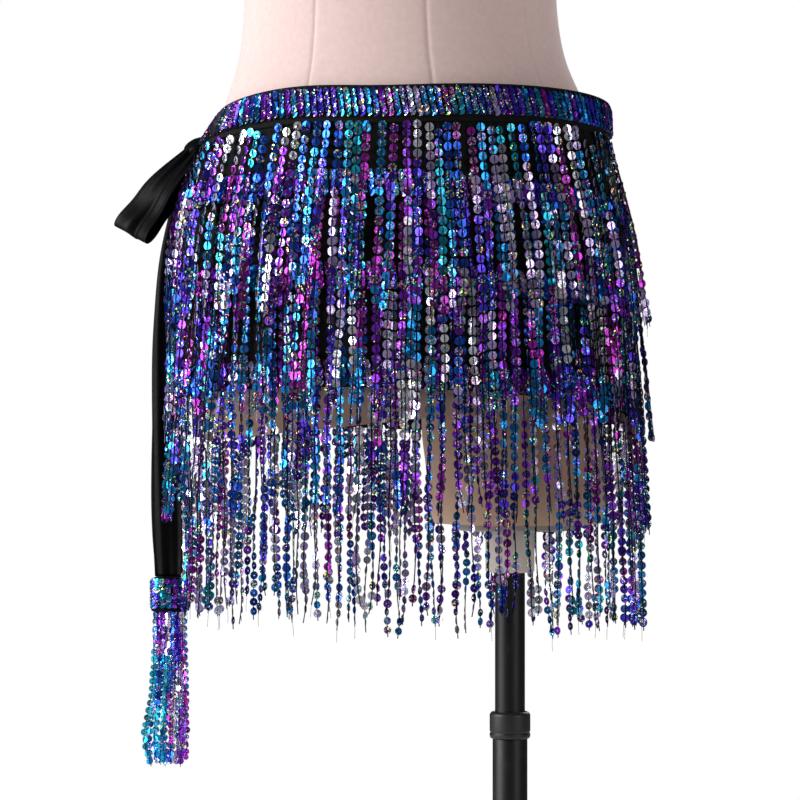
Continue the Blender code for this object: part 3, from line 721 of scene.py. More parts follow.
# The tapes: a strip of the jersey for each of the three lower rows, covered with upright columns
# of overlapping sequins, which are sewn on one long string and lie like tiles.
TAPE_OUT = 0.0024
TAPE_THICKNESS = 0.0016
TAPE_TILE_OUT = 0.0049
TAPE_COLUMN = 0.0059
TAPE_TILE = 0.0022
TILE_RADIUS = 0.0029
TILE_LEAN = math.radians(16)
TAPE_SLANT = 0.5
TAPE_STRETCH = (0.016, 0.040)
TAPE_WEIGHTS = (0.22, 0.19, 0.15, 0.19, 0.14, 0.05, 0.0, 0.06)
# Every second tile is set off by a share of the column's width and turned by an angle.
TILE_SET_OFF = 0.10
TILE_TURN = 0.5
# Where the tiles near the knot turn less and get painted shade, and how far that reaches.
KNOT_END = math.radians(200)
KNOT_END_SPREAD = 0.30


def tiled_columns(name, line, column, tile, radius, lean, slant, stretch, drift=1.0, knot_calm_and_shade=0.0):
    """Columns of tiled sequins round the hips; line(angle, share) is a point of their strip.

    They lean back, slant and lie in a braid, with a chance in each. They glitter most in front
    and behind. Near the knot, knot_calm_and_shade takes away that share of their turn, and it
    darkens their colour by that share: painted shade, for the knot's shade on the band's end.
    drift is the share of a tile's step that counts as string, and stretch is what
    dyed_string takes.
    """
    _, length = round_the_hips([0.0, 1.0])
    columns = int(length / column)
    ends = line(np.array([0.0, 0.0]), np.array([0.0, 1.0]))
    height = float(np.linalg.norm(ends[0] - ends[1]))
    rows = max(int((height - 1.2 * radius) / tile) + 1, 2)
    margin = 1.05 * radius / height
    share = np.linspace(margin, 1 - margin, rows)[None, :]
    place = (np.arange(columns) + 0.5)[:, None] / columns + slant * (share - 0.5) / columns
    braid = np.where(np.arange(rows) % 2 == 0, 1.0, -1.0)[None, :]
    place = place + (chance.normal(0, 0.04, place.shape) + TILE_SET_OFF * braid) / columns
    angle, _ = round_the_hips(place)
    share = share + chance.normal(0, 0.010, place.shape)
    centre = line(angle, share).reshape(-1, 3)
    count = len(centre)
    turn = chance.normal(0, 0.12, count).reshape(angle.shape) + TILE_TURN * braid
    # Near the knot the tiles turn less, and the same factor darkens their colour: painted shade.
    calm_and_painted_shade = 1 - knot_calm_and_shade * np.exp(-((apart(angle, KNOT_END) / KNOT_END_SPREAD) ** 2))
    turn = (turn * calm_and_painted_shade)[..., None]
    level = outward(angle) * np.cos(turn) + sideways(angle) * np.sin(turn)
    normal, up = tipped(level.reshape(-1, 3), lean + chance.normal(0, 0.08, count))
    shimmer = 0.03 + 0.22 * np.abs(np.sin(angle)).ravel() ** 6
    run = np.arange(columns)[:, None] * rows * tile + np.arange(rows)[None, :] * tile * drift
    colour = (dyed_string(run, *stretch, TAPE_WEIGHTS) * calm_and_painted_shade[..., None]).reshape(-1, 3)
    size = radius * chance.uniform(0.95, 1.05, count)
    crease = chance.normal(0.10, 0.06, count)
    return sequins(name, centre, normal, up, size, crease, colour, shimmer)


def tape_line(row):
    """The place of a tape's sequins at an angle and a share of the way down it."""
    return lambda angle, share: skirt(
        angle, tape_edge(row, 0)(angle) - TAPE_HEIGHT * share, TAPE_TILE_OUT
    )


for row in (1, 2, 3):
    name = f"fringe_row_{row + 1}_tape"
    tape, tape_cut = hip_strip(
        name, tape_edge(row, 0), tape_edge(row, 1), TAPE_OUT, 6, TAPE_THICKNESS
    )
    tiles = tiled_columns(
        f"{name}_sequins", tape_line(row), TAPE_COLUMN, TAPE_TILE, TILE_RADIUS, TILE_LEAN,
        TAPE_SLANT, TAPE_STRETCH,
    )
    for piece in (tape, tiles):
        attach(piece, "form")
        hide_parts(f"fringe_row_{row + 1}")


# The waistband: a band of the jersey with upright rows of small sequins packed edge on edge, a
# rolled black edge on top, and under it the black strip that the first row of fringe hangs from.
BAND_OUT = 0.0024
BAND_THICKNESS = 0.0014
BAND_TILE_OUT = 0.0020
BAND_COLUMN = 0.0058
BAND_TILE = 0.0017
BAND_TILE_RADIUS = 0.0028
BAND_TILE_LEAN = math.radians(18)
BAND_SLANT = 0.8
BAND_STRETCH = (0.016, 0.026)
STRIP_OUT = 0.0016
STRIP_THICKNESS = 0.0012
STRIP_HEIGHT = 0.0120
STRIP_SHOWING = 0.0045
EDGE_RADIUS = 0.0012
# The band leans in at its top edge: a little all round, more in front and behind, and at the knot.
LEAN_ALL_ROUND = 0.0010
LEAN_IN_FRONT = 0.0045
LEFT_LEAN = 0.0118
LEFT_LEAN_ANGLE = math.radians(187)
LEFT_LEAN_SPREAD = math.radians(35)
LEFT_LEAN_DEPTH = 0.8

# The levels of the band's edges, and of the upper and lower edge of the strip under it.
band_top, band_bottom = band_line(BAND_TOP), band_line(BAND_BOTTOM)
strip_top = band_line(BAND_BOTTOM + STRIP_HEIGHT - STRIP_SHOWING)
root_bottom = band_line(BAND_BOTTOM - STRIP_SHOWING)


def band(angle, share, out):
    """A point of the waistband: share 0 is its top edge, which leans in, and 1 its bottom edge."""
    angle, share = np.broadcast_arrays(angle, share)
    lean = (LEAN_ALL_ROUND + LEAN_IN_FRONT * np.sin(angle) ** 2) * (1 - share)
    left = LEFT_LEAN * np.exp(-((apart(angle, LEFT_LEAN_ANGLE) / LEFT_LEAN_SPREAD) ** 2))
    lean = lean + left * np.maximum(LEFT_LEAN_DEPTH - share, 0) / LEFT_LEAN_DEPTH
    points = skirt(angle, band_bottom(angle), BAND_OUT + out - lean)
    rise = (BAND_TOP - BAND_BOTTOM) * (1 - share)
    return points + rise[..., None] * np.array([0.0, 0.0, 1.0])


def strip_fall(angle, share, out):
    """A point of the black strip: it starts up behind the waistband and comes out under it."""
    angle, share = np.broadcast_arrays(angle, share)
    drop = STRIP_HEIGHT * share - (STRIP_HEIGHT - STRIP_SHOWING)
    behind = np.clip(-drop / (BAND_TOP - BAND_BOTTOM), 0, 1)
    hidden = band(angle, 1 - behind, out - BAND_OUT)
    below = skirt(angle, band_bottom(angle) - np.maximum(drop, 0), out)
    return np.where((drop < 0)[..., None], hidden, below)


def tube_along(name, path, radius, sides, mat):
    """A round tube along a path of points, on axes square to the path at each point."""
    run = np.gradient(path, axis=0)
    run /= np.linalg.norm(run, axis=1, keepdims=True)
    level = np.cross(run, [0.0, 0.0, 1.0])
    level /= np.linalg.norm(level, axis=1, keepdims=True)
    turn = np.linspace(0, 2 * math.pi, sides, endpoint=False)[None, :, None]
    ring = level[:, None] * np.cos(turn) + np.cross(level, run)[:, None] * np.sin(turn)
    size = np.full(len(path), radius)
    size[[0, -1]] = 0.0
    points = path[:, None] + ring * size[:, None, None]
    return close_up(grid_mesh(name, points, True, mat), 60)


waistband, band_cut = hip_strip(
    "scarf_waistband_jersey", band_top, band_bottom, 0.0, 6, BAND_THICKNESS, band
)
root_strip, root_cut = hip_strip(
    "fringe_row_1_strip", strip_top, root_bottom, STRIP_OUT, 9, STRIP_THICKNESS, strip_fall
)
# The last number calms the tiles' turn by the knot and darkens their colour there: painted shade.
band_tiles = tiled_columns(
    "scarf_waistband_sequins", lambda angle, share: band(angle, share, BAND_TILE_OUT),
    BAND_COLUMN, BAND_TILE, BAND_TILE_RADIUS, BAND_TILE_LEAN, BAND_SLANT, BAND_STRETCH, 0.1, 0.85,
)
edge_angle, _ = round_the_hips(np.linspace(0, 1, 361))
edge_path = band(edge_angle, 0.02, 0.0010)
rolled_edge = tube_along("scarf_waistband_edge", edge_path, EDGE_RADIUS, 8, jersey)
for piece in (waistband, band_tiles, rolled_edge):
    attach(piece, "form")
    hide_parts("scarf_waistband")
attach(root_strip, "form")
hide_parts("fringe_row_1")


# The fringe: four rows of strands, each a black thread strung with sequins. The thread goes down
# one strand and comes up the next, so strands hang in pairs that draw together at the bottom.
PAIR_PITCH = 0.0176
STRAND_GAP = 0.0080
SEQUIN_PITCH = 0.0072
SEQUIN_RADIUS = 0.0033
FIRST_SEQUIN = 0.0025
SEQUIN_SLIP = 0.00025
FRINGE_STRETCH = (0.022, 0.085)
# The shares of the film's eight colours in the fringe, and in its lowest row, which is paler.
FILM_WEIGHTS = (0.16, 0.16, 0.13, 0.14, 0.11, 0.14, 0.10, 0.06)
LOWEST_WEIGHTS = (0.16, 0.13, 0.09, 0.12, 0.09, 0.22, 0.10, 0.09)
THREAD_RADII = (0.00040, 0.00042, 0.00046, 0.00050)
THREAD_CORNERS = np.array([0.5, 2.5944, 4.6888])
THREAD_LIFT = 0.0005
NYLON_RADIUS = 0.00022
NYLON_SHARE = 0.3
ROW_LENGTHS = (0.1355, 0.1540, 0.1570, 0.1575)
# How far out from the skirt strands come out of their tape, and how far out each row's strands
# are where they pass each lower tape and at their ends.
ROOT_OFFSET = 0.0034
ROW_OFFSETS = (
    (0.0062, 0.0110, 0.0140),
    (0.0062, 0.0122, 0.0150),
    (0.0062, 0.0095, 0.0130),
    (0.0065, 0.0090),
)
# How far clumps, pairs and single strands stray by chance, along the hips, outwards and in length.
CLUMP_COUNT = 48
CLUMP_STRAY = 0.0016
PAIR_STRAY = 0.0008
PAIR_SWAY = 0.0022
STRAND_SWAY = 0.0016
STRAND_DEPTH = 0.0007
PAIR_UNEVENNESS = 0.0035
STRAND_UNEVENNESS = 0.002
# Seven pairs in ten draw together over their last 16 mm.
JOINED_SHARE = 0.7
GATHER_LENGTH = 0.016
GATHER_LIMIT = 1.35
JOINED_HALF_GAP = 0.0027
RIPPLE_SIZE = 0.0010
RIPPLE_LENGTH = 0.013
# How far the sequins of each row turn about their thread, in radians, and over what length.
ROW_TWIST = (0.45, 0.55, 0.95, 1.25)
TWIST_LENGTH = 0.028
# At the viewer's left, how far each row's end is drawn in, and how far it swells out above that.
ROW_DRAW = (0.0, 0.0, -0.0035, 0.0085)
ROW_SWELL = (0.0060, 0.0030, 0.0, 0.0)
DRAW_ANGLE = math.radians(190)
DRAW_SPREAD = math.radians(38)

# Polyester sewing thread: black, twisted, nearly matt.
thread, tree, shader = new_material("twisted_polyester_thread", "#050507", 0.75)
shader.inputs["Specular IOR Level"].default_value = 0.12
spot = add_node(tree, "TexCoord").outputs["Object"]
add_bump(tree, shader, stripes(tree, spot, 500.0, 1.0, "DIAGONAL"), 0.3, 0.0002)

# Nylon monofilament: clear, smooth ends of the line that the strands were strung with.
monofilament, tree, shader = new_material("nylon_monofilament", "#CFCBD2", 0.2)
shader.inputs["Transmission Weight"].default_value = 0.6
spot = add_node(tree, "TexCoord").outputs["Object"]
add_bump(tree, shader, noise(tree, spot, 300.0, 1.0), 0.2, 0.0002)


def row_root(row, angle):
    """The height of a row's lower tape edge, where its strands come out."""
    return root_bottom(angle) if row == 0 else tape_edge(row, 1)(angle)


def strand_breaks(row, angle):
    """How far down a strand passes each lower tape's top, and its end."""
    root = row_root(row, angle)
    lower = [root - tape_edge(r, 0)(angle) for r in range(row + 1, 4)]
    breaks = [b for b in lower if float(b.mean()) < ROW_LENGTHS[row]][:2]
    while len(breaks) < len(ROW_OFFSETS[row]) - 1:
        last = breaks[-1] if breaks else np.zeros_like(angle)
        breaks.append(0.5 * (last + ROW_LENGTHS[row]))
    return breaks + [np.full_like(angle, ROW_LENGTHS[row])]


def by_pair(spread, count):
    """A chance amount for each pair of strands, the same for both."""
    return np.repeat(chance.normal(0, spread, count // 2), 2)


def fringe_row(row):
    """The strands of one row: their angles, number and lengths, and the function that places them.

    Pairs stand at even steps round the hips, and clumps, pairs and strands stray by chance.
    """
    _, length = round_the_hips([1.0])
    count = 2 * int(length / PAIR_PITCH)
    even = np.arange(count) % 2 == 0
    share = (np.arange(count) // 2 + 0.5) * 2 / count
    share = share + np.where(even, -0.5, 0.5) * STRAND_GAP / length
    clumps = chance.normal(0, CLUMP_STRAY, CLUMP_COUNT)
    stray = np.interp(share, np.linspace(0, 1, CLUMP_COUNT), clumps) + by_pair(PAIR_STRAY, count)
    angle, _ = round_the_hips(np.clip(share + stray / length, 0.002, 0.998))
    breaks = strand_breaks(row, angle)
    sway = chance.normal(0, STRAND_SWAY, count) + by_pair(PAIR_SWAY, count)
    ripple = chance.uniform(0, 2 * math.pi, count)
    depth = chance.normal(0, STRAND_DEPTH, count)
    ends = ROW_LENGTHS[row] + by_pair(PAIR_UNEVENNESS, count)
    ends = ends + chance.normal(0, STRAND_UNEVENNESS, count)
    joined = np.repeat(chance.random(count // 2) < JOINED_SHARE, 2)
    inward = np.where(even, 1.0, -1.0) * joined

    def place(down):
        """Points at distances down the threads: one row of distances for each strand.

        The distance from the skirt changes evenly from tape to tape. Sideways, a strand goes by
        its sway times the 1.4th power of the share hung, plus a ripple, plus its pair's gather.
        """
        offset = np.full(down.shape, ROOT_OFFSET)
        reached, start = ROOT_OFFSET, np.zeros(count)
        for mark, target in zip(breaks, ROW_OFFSETS[row]):
            rise = np.clip((down - start[:, None]) / (mark - start)[:, None], 0, 1)
            offset = offset + (target - reached) * rise
            reached, start = target, mark
        free = np.clip(down / ROW_LENGTHS[row], 0, 1)
        last_part = (down - (ends[:, None] - GATHER_LENGTH)) / GATHER_LENGTH
        gather = np.clip(last_part, 0, GATHER_LIMIT) ** 1.5
        waver = RIPPLE_SIZE * free * np.sin(down / RIPPLE_LENGTH + ripple[:, None])
        lateral = sway[:, None] * free**1.4 + waver
        lateral = lateral + inward[:, None] * gather * (0.5 * STRAND_GAP - JOINED_HALF_GAP)
        z = row_root(row, angle)[:, None] - down
        near = np.exp(-((apart(angle, DRAW_ANGLE) / DRAW_SPREAD) ** 2))[:, None]
        swell = ROW_SWELL[row] * np.sin(math.pi * np.sqrt(free))
        draw = near * (ROW_DRAW[row] * np.minimum(1.6 * free, 1) - swell)
        points = skirt(angle[:, None], z, offset + depth[:, None] * free - draw)
        return points + sideways(angle)[:, None] * lateral[..., None]

    return angle, count, ends, place


def threads(name, paths, angle, radius, mat):
    """Three-sided threads along many paths at once, on each strand's outward and sideways axes."""
    out, side = outward(angle)[:, None], sideways(angle)[:, None]
    corners = THREAD_CORNERS[None, :, None]
    ring = side * np.cos(corners) + out * np.sin(corners)
    paths = np.concatenate([paths[:, :1], paths, paths[:, -1:]], axis=1)
    count, steps = paths.shape[:2]
    size = np.full(steps, radius)
    size[[0, -1]] = 0.0
    points = paths[:, :, None] + size[None, :, None, None] * ring[:, None]
    one = grid_faces(steps, 3, True)
    faces = one[None] + (np.arange(count) * steps * 3)[:, None, None]
    return close_up(place_mesh(name, points, faces.reshape(-1, 4), mat), 180)


def hang_row(row):
    """Makes a row's sequins, threads and clear ends.

    A sequin's yaw is its strand's own, plus a wave down the thread that grows with the share hung,
    plus a chance. Its colour goes by how far along the string it is: down one strand, up the next.
    """
    angle, count, ends, place = fringe_row(row)
    length = ROW_LENGTHS[row]
    each = int((length - 0.002) / SEQUIN_PITCH) + 1
    down = FIRST_SEQUIN + SEQUIN_PITCH * np.arange(each)[None, :] + np.zeros((count, 1))
    down = down + chance.normal(0, SEQUIN_SLIP, down.shape) + (ends - length)[:, None]
    down = np.maximum(down, 0.0015)
    centre = place(down).reshape(-1, 3)
    twist = ROW_TWIST[row] * (0.35 + down / length)
    wander = chance.uniform(0, 2 * math.pi, (count, 1))
    speed = chance.uniform(0.6, 2.4, (count, 1))
    yaw = chance.normal(0, 0.25, (count, 1)) + twist * np.sin(speed * down / TWIST_LENGTH + wander)
    yaw = (yaw + chance.normal(0, 0.16, down.shape)).ravel()
    out = np.repeat(outward(angle), each, axis=0)
    side = np.repeat(sideways(angle), each, axis=0)
    level = out * np.cos(yaw)[:, None] + side * np.sin(yaw)[:, None]
    normal, up = tipped(level, chance.normal(0, 0.07, yaw.shape))
    even = (np.arange(count) % 2 == 0)[:, None]
    run = np.arange(count)[:, None] * length + np.where(even, down, length - down)
    weights = LOWEST_WEIGHTS if row == 3 else FILM_WEIGHTS
    colour = dyed_string(np.maximum(run, 0), *FRINGE_STRETCH, weights).reshape(-1, 3)
    size = SEQUIN_RADIUS * chance.uniform(0.96, 1.03, yaw.shape)
    crease = chance.normal(0.09, 0.05, yaw.shape)
    name = f"fringe_row_{row + 1}"
    film_piece = sequins(f"{name}_sequins", centre, normal, up, size, crease, colour)
    tails = ends + chance.uniform(0.0005, 0.0035, count)
    steps = np.linspace(0, 1, 26)[None, :] * tails[:, None]
    over = place(steps) + THREAD_LIFT * outward(angle)[:, None]
    thread_piece = threads(f"{name}_threads", over, angle, THREAD_RADII[row], thread)
    clear = chance.random(count) < NYLON_SHARE
    paths = place(ends[:, None] + np.linspace(-0.001, 0.012, 6)[None, :])[clear]
    nylon_piece = threads(f"{name}_nylon_ends", paths, angle[clear], NYLON_RADIUS, monofilament)
    for piece in (film_piece, thread_piece, nylon_piece):
        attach(piece, "form")
        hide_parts(f"fringe_row_{row + 1}")


for row in range(4):
    hang_row(row)


# The ties: two straps of soft black satin sewn to the waistband's ends, tied at the side. The
# knot is wound cloth; one loop stands out of it and both ends hang straight down.
KNOT_RADII = (0.0122, 0.0150, 0.0120)
KNOT_CENTRE_HEIGHT = 0.9120
KNOT_SEAT = 0.0127
KNOT_GROOVE = 0.055
KNOT_GRID = (48, 72)
LOOP_AXIS = np.array([-0.60, -0.10, -0.79]) / math.sqrt(0.60**2 + 0.10**2 + 0.79**2)
LOOP_ACROSS = np.array([0.70, -0.60, -0.40]) / math.sqrt(0.70**2 + 0.60**2 + 0.40**2)
LOOP_ROOT = np.array([-0.0048, -0.0100, 0.0])
LOOP_LENGTH = 0.081
LOOP_HALF_DEPTH = 0.0085
LOOP_WIDTHS = (0.022, 0.038)
LOOP_NECK = 0.0050
LOOP_GRID = (121, 33)
LOOP_THICKNESS = 0.0009
# The hanging ends by height: the middle in X, half the width, then Y in front and Y behind.
TIE_PROFILE = (
    (0.5815, -0.2658, 0.0104, 0.0740, 0.0905),
    (0.6050, -0.2664, 0.0114, 0.0740, 0.0900),
    (0.7000, -0.2660, 0.0114, 0.0740, 0.0870),
    (0.7800, -0.2640, 0.0110, 0.0735, 0.0835),
    (0.8400, -0.2598, 0.0100, 0.0700, 0.0775),
    (0.8750, -0.2530, 0.0080, 0.0570, 0.0625),
    (0.9010, -0.2464, 0.0056, 0.0410, 0.0441),
)
TIE_BOTTOM = 0.5820
TIE_GRID = (140, 33)
TIE_THICKNESS = 0.0012

# Polyester satin: black, soft, with a broad sheen along the folds and a very fine diagonal twill.
satin, tree, shader = new_material("polyester_satin", "#030305", 0.5)
shader.inputs["Specular IOR Level"].default_value = 0.08
shader.inputs["Sheen Weight"].default_value = 0.004
shader.inputs["Sheen Roughness"].default_value = 0.4
spot = add_node(tree, "TexCoord").outputs["Object"]
add_bump(tree, shader, stripes(tree, spot, 420.0, 0.4, "DIAGONAL"), 0.15, 0.0002)
add_bump(tree, shader, noise(tree, spot, 120.0, 3.0), 0.25, 0.0015)


# The knot is a ball with slanting grooves between its turns of cloth.
knot_axis = outward(np.array(SLIT_ANGLE))
knot_side = sideways(np.array(SLIT_ANGLE))
knot_centre = band(np.array(SLIT_ANGLE), np.array(0.5), BAND_TILE_OUT + KNOT_SEAT)
knot_centre[2] = KNOT_CENTRE_HEIGHT
knot_turns = np.linspace(0, 2 * math.pi, KNOT_GRID[1], endpoint=False)
turn, rise = np.meshgrid(knot_turns, np.linspace(-math.pi / 2, math.pi / 2, KNOT_GRID[0]))
ball = np.stack([np.cos(rise) * np.cos(turn), np.cos(rise) * np.sin(turn), np.sin(rise)], axis=-1)
winding = 5.5 * ball[..., 2] + 3.0 * ball[..., 1] + 0.6 * np.sin(2 * turn)
wrap = 1.0 - KNOT_GROOVE * (1 + np.cos(winding))
local = ball * np.array(KNOT_RADII) * wrap[..., None]
knot_points = knot_centre + local[..., :1] * knot_axis + local[..., 1:2] * knot_side
knot_points[..., 2] += local[..., 2]
knot = close_up(grid_mesh("tie_knot_satin", knot_points, True, satin), 70)
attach(knot, "form")
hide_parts("tie_knot")

# The loop's strap goes out along its axis and back. It is gathered into a narrow neck at the knot,
# opens on the way out, is pinched flatter near its end, and has a bow, creases and one trough.
loop_turn = np.linspace(0, 2 * math.pi, LOOP_GRID[0])[:, None]
loop_share = 0.5 * (1 - np.cos(loop_turn))
loop_across = np.linspace(-0.5, 0.5, LOOP_GRID[1])[None, :]
depth_axis = np.cross(LOOP_ACROSS, LOOP_AXIS)
depth_axis /= np.linalg.norm(depth_axis)
pinch = 1 - 0.5 * np.exp(-(((loop_share - 0.72) / 0.18) ** 2))
opening = LOOP_HALF_DEPTH * loop_share**0.6 * pinch
deep = -opening * np.sin(loop_turn) - 0.0022 * np.cos(0.5 * loop_turn)
neck = LOOP_NECK * (1 - loop_share) ** 2
loop_width = LOOP_WIDTHS[0] + (LOOP_WIDTHS[1] - LOOP_WIDTHS[0]) * loop_share - neck
gathers = 0.0016 * (1 - loop_share) ** 1.5 * np.cos(5.2 * loop_across * math.pi + 0.7)
bow = 0.0012 * np.sin(loop_turn) * (1 - (2 * loop_across) ** 2)
creases = 0.0007 * np.sin(9 * loop_across + 5 * loop_share + 1.0) * loop_share
off_trough = (loop_across - 0.16 + 0.10 * loop_share) / 0.10
trough = 0.0042 * loop_share * np.exp(-(off_trough**2)) * np.sin(0.5 * loop_turn)
depth = deep + gathers + bow + creases + trough
loop_points = (
    knot_centre
    + LOOP_ROOT
    + (LOOP_LENGTH * loop_share + 0 * loop_across)[..., None] * LOOP_AXIS
    + depth[..., None] * depth_axis
    + (loop_width * loop_across + 0.5 * neck + 0.0016 * loop_share)[..., None] * LOOP_ACROSS
)
loop = grid_mesh("tie_loop_satin", loop_points, False, satin)
thicken(loop, LOOP_THICKNESS, 0.0)
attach(loop, "form")
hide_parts("tie_loop")


def tie_end(name, node, y_column, phase):
    """A hanging strap: its width and place by height, folded lengthwise by three uneven waves."""
    z = np.linspace(TIE_BOTTOM, TIE_PROFILE[-1][0], TIE_GRID[0])[:, None]
    across = np.linspace(-1, 1, TIE_GRID[1])[None, :]
    half = follow(TIE_PROFILE, 2, z)
    wide_fold = 0.0011 * np.sin(4.4 * across + phase + 3 * (z - 0.7))
    fine_fold = 0.0006 * np.sin(8.5 * across - phase + 14 * z)
    slack = 0.0008 * np.sin(z / 0.021 + 2 * across + phase)
    x = follow(TIE_PROFILE, 1, z) + half * across + 0.0012 * np.sin(z / 0.045 + phase)
    y = follow(TIE_PROFILE, y_column, z) + (wide_fold + fine_fold) + slack
    points = np.stack([x, y + 0 * x, z + 0 * x], axis=-1)
    strap = grid_mesh(name, points, False, satin)
    thicken(strap, TIE_THICKNESS, 0.0)
    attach(strap, "form")
    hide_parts(node)


tie_end("tie_end_front_satin", "tie_end_front", 3, 0.4)
tie_end("tie_end_back_satin", "tie_end_back", 4, 2.1)


# The tassels: a length of sequin strands gathered under a head that is wound round with a tape of
# sequins, with a black edge showing at its foot. Each is sewn to a tie's end.
TASSEL_X = -0.2654
TASSEL_YS = {"tassel_front": 0.0740, "tassel_back": 0.0905}
TASSEL_TOP = 0.5812
TASSEL_BOTTOM = 0.5546
TASSEL_RADIUS = 0.0130
TASSEL_FLATNESS = 0.55
# The head's outline: the share of the tassel's radius, and the height.
HEAD_PROFILE = np.array(
    (
        (0.0, TASSEL_TOP),
        (0.78, TASSEL_TOP),
        (0.90, TASSEL_TOP - 0.002),
        (0.97, TASSEL_TOP - 0.008),
        (0.97, TASSEL_BOTTOM + 0.006),
        (1.0, TASSEL_BOTTOM + 0.003),
        (1.0, TASSEL_BOTTOM + 0.001),
        (0.92, TASSEL_BOTTOM),
        (0.0, TASSEL_BOTTOM),
    )
)
HEAD_SIDES = 64
HEAD_COLUMNS = 17
HEAD_TILES = 9
HEAD_TILE_STEP = 0.003
HEAD_SEQUIN_RADIUS = 0.0024
HEAD_LEAN = math.radians(24)
HEAD_STRETCH = (0.010, 0.040)
HEAD_WEIGHTS = (0.32, 0.30, 0.16, 0.10, 0.02, 0.0, 0.0, 0.10)
# Where the strands start: along X, and in Y as a share of the head's depth there.
STRAND_STARTS = (-0.0100, -0.0078, -0.0052, -0.0020, 0.0004, 0.0032, 0.0052, 0.0078, 0.0098, 0.0114)
STRAND_DEPTHS = (-0.75, 0.35, -0.15, 0.75, -0.5, -0.75, 0.35, -0.15, 0.75, -0.5)
TASSEL_LENGTH = 0.1215
SMALL_SEQUIN_RADIUS = 0.0027
SMALL_SEQUIN_PITCH = 0.0057
SMALL_THREAD_RADIUS = 0.0003
TASSEL_STRETCH = (0.02, 0.07)
TASSEL_GAIN = 1.6
# The strands at the viewer's left are mostly blue and those at the right mostly violet and pink.
LEFT_WEIGHTS = (0.42, 0.12, 0.04, 0.04, 0.0, 0.04, 0.04, 0.30)
RIGHT_WEIGHTS = (0.08, 0.12, 0.14, 0.24, 0.18, 0.20, 0.04, 0.0)


def tassel_head(name, centre_y):
    """A tassel's wound core, its outline carried round an ellipse, and the tiles sewn round it."""
    turn = np.linspace(0, 2 * math.pi, HEAD_SIDES, endpoint=False)
    reach = TASSEL_RADIUS * HEAD_PROFILE[:, :1]
    x = TASSEL_X + reach * np.cos(turn)
    y = centre_y + TASSEL_FLATNESS * reach * np.sin(turn)
    points = np.stack([x, y, np.broadcast_to(HEAD_PROFILE[:, 1:], x.shape)], axis=-1)
    core = close_up(grid_mesh(f"{name}_core", points, True, satin), 50)

    column, tile = np.arange(HEAD_COLUMNS)[:, None], np.arange(HEAD_TILES)[None, :]
    around = column * 2 * math.pi / HEAD_COLUMNS + np.zeros(tile.shape)
    around = around + chance.normal(0, 0.05, around.shape)
    heights = np.linspace(TASSEL_BOTTOM + 0.0048, TASSEL_TOP - 0.0028, HEAD_TILES)
    z = heights[None, :] + np.zeros(column.shape)
    level = np.stack([np.cos(around), np.sin(around) / TASSEL_FLATNESS, 0 * around], axis=-1)
    level = (level / np.linalg.norm(level, axis=-1, keepdims=True)).reshape(-1, 3)
    skin = 1.02 * TASSEL_RADIUS
    x = TASSEL_X + skin * np.cos(around)
    y = centre_y + TASSEL_FLATNESS * skin * np.sin(around)
    centre = np.stack([x, y, z], axis=-1).reshape(-1, 3)
    count = len(centre)
    normal, up = tipped(level, HEAD_LEAN + chance.normal(0, 0.12, count))
    run = (column * HEAD_TILES + tile) * HEAD_TILE_STEP
    colour = dyed_string(run, *HEAD_STRETCH, HEAD_WEIGHTS).reshape(-1, 3)
    size, crease = np.full(count, HEAD_SEQUIN_RADIUS), chance.normal(0.1, 0.05, count)
    return core, sequins(f"{name}_head_sequins", centre, normal, up, size, crease, colour)


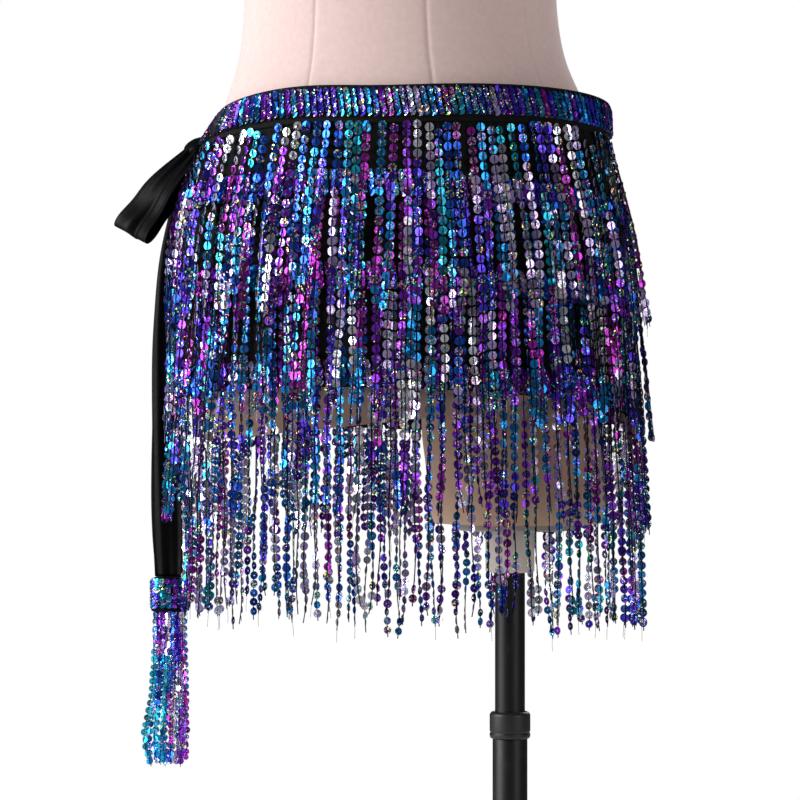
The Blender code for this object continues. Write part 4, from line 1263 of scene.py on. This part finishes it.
def tassel_strands(name, centre_y):
    """A tassel's sequins and threads: the sequins' yaw is a slow wave down the thread and a chance."""
    starts = np.array(STRAND_STARTS)[:, None]
    reach = np.sqrt(1 - (starts / TASSEL_RADIUS) ** 2)
    deep = TASSEL_FLATNESS * TASSEL_RADIUS * reach * np.array(STRAND_DEPTHS)[:, None]
    strands, each = len(STRAND_STARTS), int(TASSEL_LENGTH / SMALL_SEQUIN_PITCH)
    drift_x = chance.normal(-0.0008, 0.0012, (strands, 1))
    drift_y = chance.normal(0, 0.0010, (strands, 1))
    phase = chance.uniform(0, 2 * math.pi, (strands, 1))
    long = TASSEL_LENGTH * (1 - 0.05 * chance.random((strands, 1)))

    def place(down):
        """Points down the tassel's strands: they start round the foot, swell apart and draw in."""
        free = down / TASSEL_LENGTH
        swell = 1 + 0.18 * np.sin(math.pi * free**1.4) * (free > 0)
        waver = 0.0011 * free * np.sin(down / RIPPLE_LENGTH + phase)
        belly = np.interp(starts, (-0.010, -0.002, 0.006), (-0.0062, -0.0020, 0.0))
        belly = belly * np.exp(-(((free - 0.84) / 0.2) ** 2))
        x = TASSEL_X + starts * swell + drift_x * free + waver + belly
        y = centre_y + deep * swell + drift_y * free
        return np.stack([x, y, TASSEL_BOTTOM - down], axis=-1)

    down = 0.003 + SMALL_SEQUIN_PITCH * np.arange(each)[None, :] + np.zeros((strands, 1))
    down = np.minimum(down, long)
    yaw = 0.6 * np.sin(down / 0.02 + phase) + chance.normal(0, 0.25, down.shape)
    yaw = yaw.ravel() - 0.3
    level = np.stack([np.sin(yaw), -np.cos(yaw), 0 * yaw], axis=-1)
    normal, up = tipped(level, chance.normal(0, 0.10, yaw.shape))
    run = np.arange(strands)[:, None] * TASSEL_LENGTH + down
    left_side = (starts < 0.001) & (down > 0.3 * TASSEL_LENGTH)
    blues = dyed_string(run, *TASSEL_STRETCH, LEFT_WEIGHTS)
    pinks = dyed_string(run, *TASSEL_STRETCH, RIGHT_WEIGHTS)
    colour = np.where(left_side[..., None], blues, pinks).reshape(-1, 3)
    colour = np.clip(TASSEL_GAIN * colour, 0, 1)
    size = SMALL_SEQUIN_RADIUS * chance.uniform(0.9, 1.1, len(yaw))
    crease = chance.normal(0.2, 0.08, len(yaw))
    centre = place(down).reshape(-1, 3)
    beads = sequins(f"{name}_strand_sequins", centre, normal, up, size, crease, colour)
    paths = place(np.linspace(0, 1, 24)[None, :] * (long + 0.001))
    facing_front = np.full(strands, -math.pi / 2)
    return beads, threads(f"{name}_threads", paths, facing_front, SMALL_THREAD_RADIUS, thread)


for node, centre_y in TASSEL_YS.items():
    for piece in tassel_head(node, centre_y) + tassel_strands(node, centre_y):
        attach(piece, "form")
        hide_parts(node)
